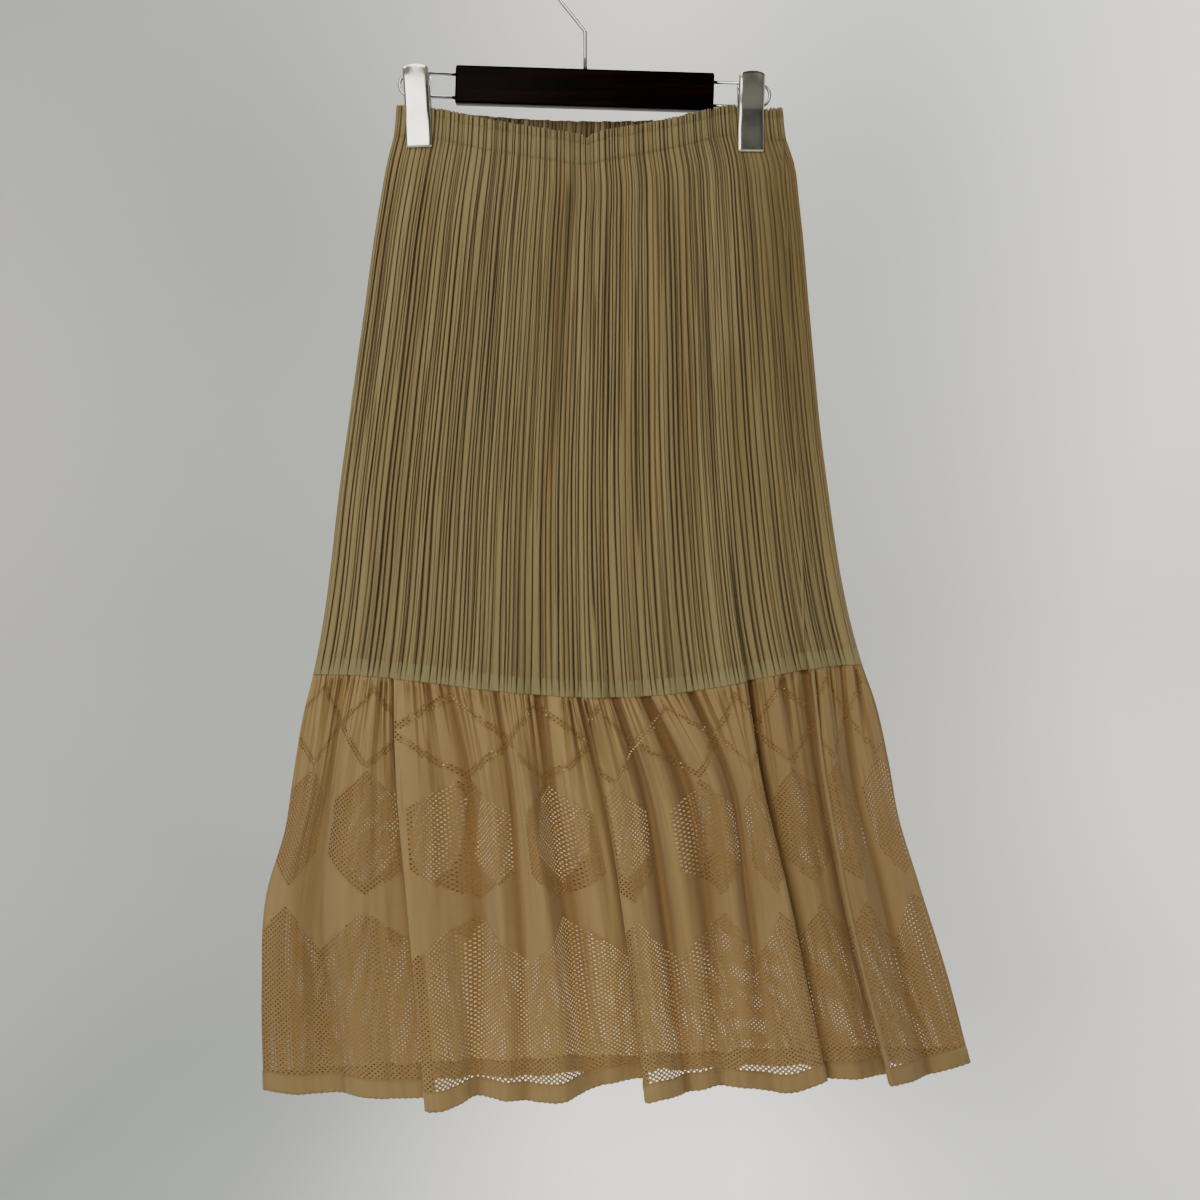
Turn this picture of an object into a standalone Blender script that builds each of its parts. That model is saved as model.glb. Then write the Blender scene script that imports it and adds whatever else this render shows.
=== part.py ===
"""A long pleated skirt with a gathered openwork flounce, hanging from a clip hanger.

Metres, +Z up, the front of the skirt towards -Y. The origin is the underside of the
hook's top, where a rod carries the hanger. Each panel is one open surface, a loft
between sections, that Solidify makes a wall of cloth.
"""
import math

import bmesh
import bpy
import numpy as np
from mathutils import Matrix, Vector

# Cloth walls and the gaps between sewn pieces.
YOKE_WALL = 0.0012
BAND_WALL = 0.0022
FLOUNCE_WALL = 0.0013
HEM_WALL = 0.0019
SEAM_GAP = 0.0004
SIDE_GAP = 0.0003

# Pleats of the yoke and of the waistband, on each side of the skirt.
PLEATS = 80
PLEAT_UNEVEN = 0.38
PLEAT_JITTER = 0.16
PLEAT_DEPTH = {"waist": 0.0005, "yoke_top": 0.0007, "seam": 0.0014}

# The clips hold the waist flat here, and the waist opens between them.
CLIP_X = 0.1335
CLIP_FLAT_HALF = 0.018
CLIP_PRESS = 0.6
CLIP_FADE = 0.020

# The sections of the tube. z and x at its left and right edges, how far the front and
# back hang below those edges, how sharply and round which middle, how far they stand
# out, the share of the half width within which they part, and the powers that shape
# their curve.
SECTION_COLUMNS = (
    "name", "z_left", "z_right", "x_left", "x_right", "sag_front", "sag_back",
    "sag_power", "sag_middle", "out_front", "out_back", "parts_within", "roundness",
    "parting",
)
SECTIONS = (
    ("waist", -0.1198, -0.1228, -0.1508, 0.1580,
     0.0268, 0.0125, 1.6, 0.00, 0.0105, 0.0085, 0.78, 2.0, 1.4),
    ("band_foot", -0.1448, -0.1478, -0.1533, 0.1610,
     0.0265, 0.0120, 1.6, 0.00, 0.0120, 0.0100, 0.78, 2.0, 1.4),
    ("jaw_foot", -0.1614, -0.1640, -0.1575, 0.1665,
     0.0255, 0.0100, 1.6, 0.01, 0.0135, 0.0115, 0.79, 2.0, 1.4),
    ("high_hip", -0.1994, -0.1984, -0.1645, 0.1712,
     0.0245, 0.0095, 1.6, 0.02, 0.0160, 0.0150, 0.96, 2.1, 1.0),
    ("hip", -0.2904, -0.2884, -0.1776, 0.1796,
     0.0230, 0.0090, 1.7, 0.05, 0.0190, 0.0200, 1.0, 2.3, 1.0),
    ("thigh", -0.4094, -0.4054, -0.1942, 0.1912,
     0.0212, 0.0085, 1.8, 0.08, 0.0225, 0.0260, 1.0, 2.5, 1.0),
    ("seam", -0.5750, -0.5670, -0.2176, 0.2215,
     0.0195, 0.0080, 2.0, 0.12, 0.0250, 0.0310, 1.0, 2.6, 1.0),
    ("gather", -0.6054, -0.5964, -0.2252, 0.2318,
     0.0180, 0.0080, 1.9, 0.10, 0.0260, 0.0330, 1.0, 2.7, 1.0),
    ("upper", -0.6524, -0.6434, -0.2332, 0.2425,
     0.0160, 0.0080, 1.7, 0.06, 0.0270, 0.0360, 1.0, 2.8, 1.0),
    ("calf", -0.7000, -0.6900, -0.2405, 0.2510,
     0.0140, 0.0080, 1.5, 0.03, 0.0275, 0.0385, 1.0, 2.9, 1.0),
    ("middle", -0.7474, -0.7374, -0.2545, 0.2655,
     0.0120, 0.0080, 1.3, 0.00, 0.0280, 0.0410, 1.0, 2.9, 1.0),
    ("lower", -0.8274, -0.8144, -0.2590, 0.2895,
     0.0080, 0.0070, 1.0, 0.00, 0.0285, 0.0450, 1.0, 3.0, 1.0),
    ("hem", -0.9069, -0.8854, -0.2576, 0.3080,
     0.0040, 0.0060, 1.0, 0.00, 0.0290, 0.0490, 1.0, 3.0, 1.0),
)
LIFT_POWER = 2.0
SAG_WITHIN = {"front": 0.93, "back": 1.0}
BACK_SAG_POWER = 0.5
HEM_BAND = 0.018
HEM_STEP = 0.003

# The front folds of the flounce, from left to right. Where each ridge or trough lies
# across the front at four heights, how far it stands forward there, and how much
# higher the hem is at its foot.
FOLD_LEVELS = ("seam", "upper", "middle", "hem")
FRONT_FOLDS = (
    ("a_ridge", (-0.204, -0.215, -0.234, -0.231), (0.001, 0.004, 0.006, 0.005), 0.000),
    ("a_trough", (-0.188, -0.202, -0.214, -0.196), (-0.003, -0.006, -0.009, -0.004), 0.002),
    ("b_ridge", (-0.172, -0.182, -0.188, -0.169), (0.001, 0.006, 0.009, 0.007), 0.002),
    ("b_trough", (-0.155, -0.155, -0.151, -0.140), (-0.005, -0.009, -0.013, -0.006), 0.000),
    ("c_edge", (-0.150, -0.148, -0.139, -0.124), (0.003, 0.008, 0.011, 0.016), -0.003),
    ("c_ridge", (-0.138, -0.132, -0.126, -0.110), (0.002, 0.009, 0.011, 0.018), -0.003),
    ("c_back", (-0.126, -0.116, -0.110, -0.096), (-0.001, 0.000, 0.002, 0.006), 0.000),
    ("d_trough", (-0.108, -0.092, -0.084, -0.084), (-0.004, -0.008, -0.011, -0.006), 0.003),
    ("d_ridge", (-0.086, -0.074, -0.066, -0.062), (0.002, 0.005, 0.007, 0.006), 0.002),
    ("e_trough", (-0.070, -0.058, -0.051, -0.046), (-0.002, -0.003, -0.002, 0.001), 0.001),
    ("e_ridge", (-0.055, -0.044, -0.030, -0.018), (0.003, 0.008, 0.010, 0.013), 0.002),
    ("f_trough", (-0.038, -0.029, -0.016, 0.004), (-0.006, -0.011, -0.014, -0.008), 0.006),
    ("f_ridge", (-0.018, -0.008, 0.010, 0.022), (0.003, 0.007, 0.004, -0.011), 0.009),
    ("f_deep", (-0.007, 0.007, 0.022, 0.040), (-0.003, -0.004, -0.006, -0.018), 0.009),
    ("g_edge", (-0.001, 0.015, 0.029, 0.047), (0.002, 0.006, 0.007, 0.013), 0.000),
    ("g_ridge", (0.007, 0.025, 0.039, 0.058), (0.004, 0.009, 0.010, 0.017), 0.002),
    ("g_back", (0.015, 0.036, 0.049, 0.071), (0.001, 0.005, 0.006, 0.010), 0.002),
    ("h_trough", (0.023, 0.047, 0.062, 0.080), (-0.006, -0.010, -0.012, -0.002), 0.002),
    ("h_ridge", (0.034, 0.060, 0.077, 0.092), (0.002, 0.004, 0.003, 0.002), 0.004),
    ("i_trough", (0.049, 0.080, 0.096, 0.105), (-0.005, -0.012, -0.010, -0.004), 0.005),
    ("i_ridge", (0.066, 0.101, 0.116, 0.126), (0.003, 0.009, 0.006, 0.002), 0.003),
    ("j_trough", (0.083, 0.114, 0.128, 0.144), (-0.002, 0.000, -0.002, -0.001), -0.001),
    ("j_ridge", (0.104, 0.126, 0.142, 0.161), (0.004, 0.007, 0.008, 0.007), -0.002),
    ("k_edge", (0.126, 0.138, 0.159, 0.188), (0.006, 0.009, 0.011, 0.012), 0.006),
    ("k_trough", (0.132, 0.145, 0.169, 0.198), (-0.006, -0.009, -0.010, -0.006), 0.004),
    ("k_ridge", (0.150, 0.162, 0.182, 0.214), (0.002, 0.004, 0.000, 0.000), 0.001),
    ("l_trough", (0.173, 0.181, 0.195, 0.231), (-0.005, -0.007, -0.009, -0.009), -0.001),
    ("l_edge", (0.178, 0.186, 0.202, 0.239), (0.004, 0.007, 0.010, 0.012), -0.004),
    ("m_ridge", (0.190, 0.199, 0.220, 0.256), (0.003, 0.005, 0.006, 0.008), -0.005),
    ("m_trough", (0.204, 0.212, 0.235, 0.274), (-0.002, -0.004, -0.005, -0.004), -0.005),
    ("n_ridge", (0.215, 0.226, 0.249, 0.290), (0.001, 0.003, 0.003, 0.002), -0.002),
)

# The back folds, which the front hides: even in kind, uneven in place and depth.
BACK_FOLDS = 14
BACK_FOLD_OUT = (0.003, 0.006, 0.009, 0.010)
BACK_FOLD_WANDER = 0.30
BACK_HEM_WAVE = -0.001
FOLD_STEPS = 2

# The hanger: a wooden bar that hangs a little low on the right, its hook and rails.
BAR_SIZE = Vector((0.2065, 0.0115, 0.0300))
BAR_TOP = -0.0919
BAR_TILT = math.radians(1.75)
BAR_ROUND = 0.0016
HOOK_WIRE = 0.0034
HOOK_RADIUS = 0.0240
HOOK_LEAN = math.radians(39.0)
HOOK_TIP_PAST = math.radians(24.0)
HOOK_BEND = 0.004
HOOK_TURNS = 22
HOOK_IN_BAR = 0.018
HOLE_CLEAR = 0.0004
RAIL_WIRE = 0.0028
RAIL_SPACING = 0.0187
RAIL_MIDDLE = 0.0156
RAIL_REACH = 0.1496
RAIL_IN_BAR = 0.030
RAIL_TURNS = 8

WIRE_RESOLUTION = 3

# The clips: two bent plates on a spring barrel that the rails pass above and below.
PLATE_WIDTH = 0.0200
PLATE_THICKNESS = 0.0010
PLATE_CROWN = 0.0026
CROWN_POWER = 2.4
PLATE_COLUMNS = 7
BARREL_RADIUS = RAIL_SPACING / 2 - RAIL_WIRE / 2 - SIDE_GAP
BARREL_LENGTH = 0.0185
BARREL_INWARD = 0.0030
BARREL_ROUND = 0.002
JAW_Y = 0.0033
LEVER_Y = 0.0125
BARREL_CLEAR = 0.0006
KNEE_OUT = 0.0012
KNEE_BELOW_WAIST = 0.004
KNEE_HEIGHT = 0.008
CLIPS = {
    "left": {"x": -0.1345, "top": -0.0906, "foot": -0.1538, "lean": math.radians(-2.3)},
    "right": {"x": 0.1325, "top": -0.0959, "foot": -0.1572, "lean": math.radians(0.3)},
}

COLOURS = {
    "pleated": (0.43, 0.34, 0.18, 1.0),
    "openwork": (0.62, 0.43, 0.24, 1.0),
    "wood": (0.045, 0.012, 0.008, 1.0),
    "chrome": (0.72, 0.72, 0.74, 1.0),
    "satin_steel": (0.56, 0.56, 0.53, 1.0),
}


def material(name, roughness, metallic=0.0):
    """A plain finish for one kind of piece."""
    made = bpy.data.materials.new(name)
    made.use_nodes = True
    shader = made.node_tree.nodes["Principled BSDF"]
    shader.inputs["Base Color"].default_value = COLOURS[name]
    shader.inputs["Roughness"].default_value = roughness
    shader.inputs["Metallic"].default_value = metallic
    made.diffuse_color = COLOURS[name]
    return made


def hermite(levels, values, at):
    """A smooth curve through values at rising levels, read at the places in at."""
    levels = np.asarray(levels, float)
    values = np.asarray(values, float)
    tangents = np.gradient(values, levels, axis=0)
    at = np.clip(np.asarray(at, float), levels[0], levels[-1])
    low = np.clip(np.searchsorted(levels, at, side="right") - 1, 0, len(levels) - 2)
    step = levels[low + 1] - levels[low]
    t = (at - levels[low]) / step
    shape = t.shape + (1,) * (values.ndim - 1)
    t, step = t.reshape(shape), step.reshape(shape)
    return (
        (2 * t**3 - 3 * t**2 + 1) * values[low]
        + (t**3 - 2 * t**2 + t) * step * tangents[low]
        + (3 * t**2 - 2 * t**3) * values[low + 1]
        + (t**3 - t**2) * step * tangents[low + 1]
    )


SECTION_NAMES = [row[0] for row in SECTIONS]
SECTION_DEPTH = np.array([-row[1] for row in SECTIONS])


def depth_of(name):
    """How far below the origin a named section lies, at its left edge."""
    return SECTION_DEPTH[SECTION_NAMES.index(name)]


def section(depth):
    """The section's sizes at a depth, by column name."""
    sizes = hermite(SECTION_DEPTH, [row[1:] for row in SECTIONS], np.array([depth]))[0]
    return dict(zip(SECTION_COLUMNS[1:], sizes))


def base_curve(depth, across, side, wall):
    """The tube's plain section. across runs from -1 to 1; side is front or back."""
    s = section(depth)
    x = s["x_left"] + (across + 1) / 2 * (s["x_right"] - s["x_left"])
    lift = ((across + 1) / 2) ** LIFT_POWER
    from_middle = across - s["sag_middle"]
    reach = 1 - np.sign(from_middle) * s["sag_middle"]
    hang = np.clip(1 - (from_middle / reach / SAG_WITHIN[side]) ** 2, 0, 1)
    power = s["sag_power"] * (BACK_SAG_POWER if side == "back" else 1)
    sag = s["sag_" + side] * hang**power
    z = s["z_left"] + lift * (s["z_right"] - s["z_left"]) - sag
    inner = np.clip(np.abs(across) / s["parts_within"], 0, 1)
    opened = (1 - inner ** s["roundness"]) ** s["parting"]
    out = wall / 2 + SIDE_GAP / 2 + s["out_" + side] * opened
    return x, out, z


def clip_flatness(x, depth):
    """1 where a clip presses the cloth flat, 0 away from it."""
    near = np.exp(-((np.abs(np.abs(x) - CLIP_X) / CLIP_FLAT_HALF) ** 4))
    below = np.clip((depth - depth_of("jaw_foot")) / CLIP_FADE, 0, 1)
    return near * (1 - below)


def pleat_edges():
    """Across values of the pleats' ridges and troughs, from one side seam to the other."""
    i = np.arange(PLEATS)
    widths = 1 + PLEAT_UNEVEN * np.sin(2.399 * i) * np.cos(0.37 * i)
    widths += PLEAT_JITTER * np.sin(5.1 * i + 1)
    ends = np.concatenate([[0], np.cumsum(widths)])
    ends = ends / ends[-1] * 2 - 1
    middles = (ends[:-1] + ends[1:]) / 2
    across = np.empty(2 * PLEATS + 1)
    across[0::2] = ends
    across[1::2] = middles
    return across


def back_fold_table():
    """The back's ridges and troughs, made like the front's table."""
    rows = []
    levels = [section(depth_of(name)) for name in FOLD_LEVELS]
    places = np.linspace(-1, 1, 2 * BACK_FOLDS + 3)[1:-1]
    pitch = places[1] - places[0]
    for i, place in enumerate(places):
        wander = BACK_FOLD_WANDER * pitch * math.sin(2.1 * i + 0.7)
        strength = 0.75 + 0.25 * math.sin(1.7 * i)
        sign = 1 if i % 2 == 0 else -1
        xs = [
            s["x_left"] + (place + wander * n / 3 + 1) / 2 * (s["x_right"] - s["x_left"])
            for n, s in enumerate(levels)
        ]
        outs = [sign * strength * out * (1 - 0.6 * abs(place) ** 6) for out in BACK_FOLD_OUT]
        rows.append((f"back_{i}", tuple(xs), tuple(outs), sign * BACK_HEM_WAVE))
    return tuple(rows)


FOLDS = {"front": FRONT_FOLDS, "back": back_fold_table()}


def fold_knots(side, depth):
    """(x, out, lift) of the flounce's ridges and troughs at a depth, with its sides."""
    s = section(depth)
    levels = [depth_of(name) for name in FOLD_LEVELS]
    table = np.array([[row[1], row[2]] for row in FOLDS[side]]).transpose(2, 0, 1)
    knots = hermite(levels, table, np.array([depth]))[0]
    share = (depth - levels[0]) / (levels[-1] - levels[0])
    lifts = share**2 * np.array([[row[3]] for row in FOLDS[side]])
    sides = np.array([[s["x_left"], 0.0, 0.0], [s["x_right"], 0.0, 0.0]])
    return np.concatenate([sides[:1], np.hstack([knots, lifts]), sides[1:]])


def fold_curve(side, depth, steps):
    """(x, out, lift) along the folds, with steps points from each knot to the next."""
    knots = fold_knots(side, depth)
    count = len(knots) - 1
    return hermite(np.arange(count + 1), knots, np.linspace(0, count, count * steps + 1))


def yoke_folds(side, depth, x):
    """The flounce's folds run up into the yoke above the seam and fade out."""
    top, seam = depth_of("hip"), depth_of("seam")
    fade = np.clip((depth - top) / (seam - top), 0, 1) ** 2
    curve = fold_curve(side, seam, 6)
    s, at_seam = section(depth), section(seam)
    across = (x - s["x_left"]) / (s["x_right"] - s["x_left"])
    seam_x = at_seam["x_left"] + across * (at_seam["x_right"] - at_seam["x_left"])
    return fade * np.interp(seam_x, curve[:, 0], curve[:, 1])


def pleat_rows(side, depths, pleat_depths, wall, offsets):
    """Rows of points across a pleated panel, ridges and troughs in turn."""
    across = pleat_edges()
    ridge = np.arange(len(across)) % 2
    rows = []
    for depth, pleat, offset in zip(depths, pleat_depths, offsets):
        x, out, z = base_curve(depth, across, side, wall)
        pleats = 2 * pleat * (1 - CLIP_PRESS * clip_flatness(x, depth)) * ridge
        y = out + pleats + yoke_folds(side, depth, x)
        rows.append(np.stack([x, y, z + offset], axis=1))
    return facing(rows, side)


def facing(rows, side):
    """Rows with their depth turned to the side of the skirt that they belong to."""
    points = np.array(rows)
    points[:, :, 1] *= -1 if side == "front" else 1
    return points


def sheet(name, points, side, wall, finish, thin_rows=None):
    """A cloth panel: an open grid of points, given its wall by Solidify."""
    rows, columns = points.shape[:2]
    faces = []
    for r in range(rows - 1):
        for c in range(columns - 1):
            a = r * columns + c
            quad = (a, a + columns, a + columns + 1, a + 1)
            faces.append(quad if side == "front" else quad[::-1])
    mesh = bpy.data.meshes.new(name)
    mesh.from_pydata(points.reshape(-1, 3).tolist(), [], faces)
    panel = bpy.data.objects.new(name, mesh)
    PARTS.objects.link(panel)
    mesh.materials.append(finish)
    solid = panel.modifiers.new("cloth wall", "SOLIDIFY")
    solid.thickness = wall
    solid.offset = 0.0
    solid.use_even_offset = True
    if thin_rows is not None:
        group = panel.vertex_groups.new(name="thickness")
        for r in range(rows):
            for c in range(columns):
                group.add([r * columns + c], float(thin_rows[r]), "REPLACE")
        solid.vertex_group = "thickness"
    return panel


def waistband(side, finish):
    """The elastic casing, gathered by the pleats that run on through it."""
    depths = [depth_of("waist"), depth_of("band_foot")]
    pleats = [PLEAT_DEPTH["waist"]] * 2
    points = pleat_rows(side, depths, pleats, BAND_WALL, [0, SEAM_GAP])
    return sheet(f"waistband_{side}", points, side, BAND_WALL, finish)


def yoke(side, finish):
    """The finely pleated panel from the waistband to the flounce."""
    names = ["band_foot", "jaw_foot", "high_hip", "hip", "thigh", "seam"]
    depths = np.array([depth_of(name) for name in names])
    share = (depths - depths[0]) / (depths[-1] - depths[0])
    pleats = PLEAT_DEPTH["yoke_top"] + share * (PLEAT_DEPTH["seam"] - PLEAT_DEPTH["yoke_top"])
    points = pleat_rows(side, depths, pleats, YOKE_WALL, [0] * len(names))
    return sheet(f"yoke_{side}", points, side, YOKE_WALL, finish)


def flounce(side, finish):
    """The gathered tier below the yoke, with its folds and its thicker hem."""
    seam, hem = depth_of("seam"), depth_of("hem")
    depths = np.array([
        seam, depth_of("gather"), depth_of("upper"), depth_of("calf"), depth_of("middle"),
        depth_of("lower"), hem - HEM_BAND - HEM_STEP, hem - HEM_BAND, hem,
    ])
    thin = FLOUNCE_WALL / HEM_WALL
    thickness = [thin] * (len(depths) - 2) + [1.0, 1.0]
    rows = []
    for depth in depths:
        s = section(depth)
        curve = fold_curve(side, depth, FOLD_STEPS)
        across = np.clip((curve[:, 0] - s["x_left"]) / (s["x_right"] - s["x_left"]) * 2 - 1, -1, 1)
        _, out, z = base_curve(depth, across, side, HEM_WALL)
        drop = SEAM_GAP if depth == seam else 0.0
        height = z - drop + curve[:, 2]
        rows.append(np.stack([curve[:, 0], out + curve[:, 1], height], axis=1))
    points = facing(rows, side)
    return sheet(f"flounce_{side}", points, side, HEM_WALL, finish, thickness)


def hanger_frame():
    """The empty that the bar and the rails hang from, turned by the bar's tilt."""
    frame = bpy.data.objects.new("hanger_frame", None)
    PARTS.objects.link(frame)
    frame.location = (0.0, 0.0, BAR_TOP)
    frame.rotation_euler = (0.0, BAR_TILT, 0.0)
    return frame


def box_object(name, size, centre, finish, round_edge):
    """A block with rounded edges."""
    mesh = bpy.data.meshes.new(name)
    shape = bmesh.new()
    bmesh.ops.create_cube(shape, size=1.0)
    bmesh.ops.scale(shape, vec=size, verts=shape.verts)
    bmesh.ops.translate(shape, vec=centre, verts=shape.verts)
    shape.to_mesh(mesh)
    shape.free()
    mesh.materials.append(finish)
    block = bpy.data.objects.new(name, mesh)
    PARTS.objects.link(block)
    rounding = block.modifiers.new("rounded edges", "BEVEL")
    rounding.width = round_edge
    rounding.segments = 2
    return block


def cylinder_cutter(name, radius, low, high):
    """A round cutter between two points."""
    mesh = bpy.data.meshes.new(name)
    shape = bmesh.new()
    axis = Vector(high) - Vector(low)
    bmesh.ops.create_cone(
        shape, cap_ends=True, segments=16, radius1=radius, radius2=radius, depth=axis.length
    )
    turn = axis.to_track_quat("Z", "Y").to_matrix().to_4x4()
    place = Matrix.Translation((Vector(low) + Vector(high)) / 2) @ turn
    bmesh.ops.transform(shape, matrix=place, verts=shape.verts)
    shape.to_mesh(mesh)
    shape.free()
    cutter = bpy.data.objects.new(name, mesh)
    CUTTERS.objects.link(cutter)
    cutter.hide_render = True
    cutter.display_type = "WIRE"
    return cutter


def bore(block, cutter, parent=None):
    """Cuts one hole; with a parent, the cutter is placed in that frame."""
    cutter.parent = parent
    cut = block.modifiers.new(cutter.name, "BOOLEAN")
    cut.operation = "DIFFERENCE"
    cut.object = cutter


def wire(name, points, diameter, finish):
    """A bent wire with filled ends."""
    curve = bpy.data.curves.new(name, "CURVE")
    curve.dimensions = "3D"
    curve.bevel_depth = diameter / 2
    curve.bevel_resolution = WIRE_RESOLUTION
    curve.use_fill_caps = True
    spline = curve.splines.new("POLY")
    spline.points.add(len(points) - 1)
    for point, place in zip(spline.points, points):
        point.co = (*place, 1.0)
    curve.materials.append(finish)
    bent = bpy.data.objects.new(name, curve)
    PARTS.objects.link(bent)
    return bent


def hook_points():
    """The hook's centreline: up from the bar, out to the left and round over the top."""
    centre = Vector((0, 0, HOOK_WIRE / 2 - HOOK_RADIUS))
    bend = Vector((0, 0, centre.z - HOOK_RADIUS / math.sin(HOOK_LEAN)))
    lean = Vector((-math.sin(HOOK_LEAN), 0, math.cos(HOOK_LEAN)))
    below, above = bend - Vector((0, 0, HOOK_BEND)), bend + HOOK_BEND * lean
    points = [Vector((0, 0, BAR_TOP - HOOK_IN_BAR)), below]
    points += [(below + 2 * bend + above) / 4, above]
    angles = np.linspace(math.pi + HOOK_LEAN, -HOOK_TIP_PAST, HOOK_TURNS + 1)
    for angle in angles:
        points.append(centre + HOOK_RADIUS * Vector((math.cos(angle), 0, math.sin(angle))))
    return points


def rail_points(side):
    """One rail: out of the bar, round the far side of the clip and back in."""
    half = RAIL_SPACING / 2
    inner = BAR_SIZE.x / 2 - RAIL_IN_BAR
    turn = RAIL_REACH - RAIL_WIRE / 2 - half
    points = [Vector((inner, 0, half)), Vector((turn, 0, half))]
    for angle in np.linspace(math.pi / 2, -math.pi / 2, RAIL_TURNS + 1)[1:-1]:
        points.append(Vector((turn + half * math.cos(angle), 0, half * math.sin(angle))))
    points += [Vector((turn, 0, -half)), Vector((inner, 0, -half))]
    return [Vector((side * p.x, 0, p.z - RAIL_MIDDLE)) for p in points]


def plate(name, clip, facing_y, finish, frame):
    """One bent plate of a clip: a lever above the spring and a flat jaw on the waist."""
    spring = rail_height(clip["x"])
    knee = -depth_of("waist") - KNEE_BELOW_WAIST
    profile = (
        (LEVER_Y, clip["top"]),
        (BARREL_RADIUS + PLATE_THICKNESS / 2 + BARREL_CLEAR, spring),
        (JAW_Y + PLATE_THICKNESS / 2 + KNEE_OUT, knee),
        (JAW_Y + PLATE_THICKNESS / 2, knee - KNEE_HEIGHT),
        (JAW_Y + PLATE_THICKNESS / 2, clip["foot"]),
    )
    across = np.linspace(-1, 1, PLATE_COLUMNS)
    x = across * PLATE_WIDTH / 2
    rows = [np.stack([x, np.full_like(x, y), np.full_like(x, z)], axis=1) for y, z in profile]
    rows[0][:, 2] -= PLATE_CROWN * np.abs(across) ** CROWN_POWER
    points = facing(rows, facing_y)
    points[:, :, 2] -= spring
    made = sheet(name, points, facing_y, PLATE_THICKNESS, finish)
    made.parent = frame


def rail_height(x):
    """The height of the middle between the two rails at a place along the bar."""
    return BAR_TOP - RAIL_MIDDLE * math.cos(BAR_TILT) - x * math.tan(BAR_TILT)


def clip(side, clip_sizes, finish, chrome):
    """A clip: two plates and the spring barrel between them."""
    frame = bpy.data.objects.new(f"clip_{side}_frame", None)
    PARTS.objects.link(frame)
    frame.location = (clip_sizes["x"], 0.0, rail_height(clip_sizes["x"]))
    frame.rotation_euler = (0.0, clip_sizes["lean"], 0.0)
    plate(f"clip_{side}_front", clip_sizes, "front", finish, frame)
    plate(f"clip_{side}_back", clip_sizes, "back", finish, frame)
    mesh = bpy.data.meshes.new(f"clip_{side}_spring")
    shape = bmesh.new()
    bmesh.ops.create_cone(
        shape, cap_ends=True, segments=24, radius1=BARREL_RADIUS, radius2=BARREL_RADIUS,
        depth=BARREL_LENGTH,
    )
    bmesh.ops.rotate(
        shape, cent=(0, 0, 0), matrix=Matrix.Rotation(math.pi / 2, 3, "Y"), verts=shape.verts
    )
    shape.to_mesh(mesh)
    shape.free()
    mesh.materials.append(chrome)
    barrel = bpy.data.objects.new(f"clip_{side}_spring", mesh)
    PARTS.objects.link(barrel)
    middle = clip_sizes["x"] - math.copysign(BARREL_INWARD, clip_sizes["x"])
    barrel.location = (middle, 0.0, rail_height(middle))
    barrel.rotation_euler = (0.0, BAR_TILT, 0.0)
    rounding = barrel.modifiers.new("rounded ends", "BEVEL")
    rounding.width = BARREL_ROUND
    rounding.segments = 2
    rounding.limit_method = "ANGLE"


def clear_scene():
    """Removes what the scene holds at the start."""
    for found in list(bpy.data.objects):
        bpy.data.objects.remove(found)


clear_scene()
PARTS = bpy.data.collections.new("pleated_skirt_on_hanger")
CUTTERS = bpy.data.collections.new("cutters")
for collection in (PARTS, CUTTERS):
    bpy.context.scene.collection.children.link(collection)

pleated = material("pleated", 0.75)
openwork = material("openwork", 0.85)
wood = material("wood", 0.25)
chrome = material("chrome", 0.12, 1.0)
satin_steel = material("satin_steel", 0.32, 1.0)

for panel_side in ("front", "back"):
    waistband(panel_side, pleated)
    yoke(panel_side, pleated)
    flounce(panel_side, openwork)

frame = hanger_frame()
bar = box_object(
    "hanger_bar", BAR_SIZE, Vector((0, 0, -BAR_SIZE.z / 2)), wood, BAR_ROUND
)
bar.parent = frame
for rail_side, sign in (("left", -1), ("right", 1)):
    rail = wire(f"rail_{rail_side}", rail_points(sign), RAIL_WIRE, chrome)
    rail.parent = frame
    for level, height in (("top", RAIL_SPACING / 2), ("low", -RAIL_SPACING / 2)):
        z = height - RAIL_MIDDLE
        start = (sign * (BAR_SIZE.x / 2 - RAIL_IN_BAR - HOLE_CLEAR), 0, z)
        end = (sign * (BAR_SIZE.x / 2 + RAIL_WIRE), 0, z)
        hole_name = f"hole_{rail_side}_{level}"
        bore(bar, cylinder_cutter(hole_name, RAIL_WIRE / 2 + SIDE_GAP, start, end), frame)
hook_foot = (0, 0, BAR_TOP - HOOK_IN_BAR - HOLE_CLEAR)
hook_exit = (0, 0, BAR_TOP + HOOK_WIRE)
hook_hole = cylinder_cutter("hole_hook", HOOK_WIRE / 2 + HOLE_CLEAR, hook_foot, hook_exit)
bore(bar, hook_hole)
wire("hanger_hook", hook_points(), HOOK_WIRE, chrome)
for clip_side, sizes in CLIPS.items():
    clip(clip_side, sizes, satin_steel, chrome)
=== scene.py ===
"""The looks of a pleated skirt with an openwork flounce, hanging from a clip hanger.

Metres, +Z up, the front of the skirt towards -Y, the hook's top at the origin. The cloth
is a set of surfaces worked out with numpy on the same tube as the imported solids. Places
on a panel are given by a depth below the origin and by how far across it they lie.
"""
import logging
import math
from dataclasses import dataclass, field
from enum import Enum

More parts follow.
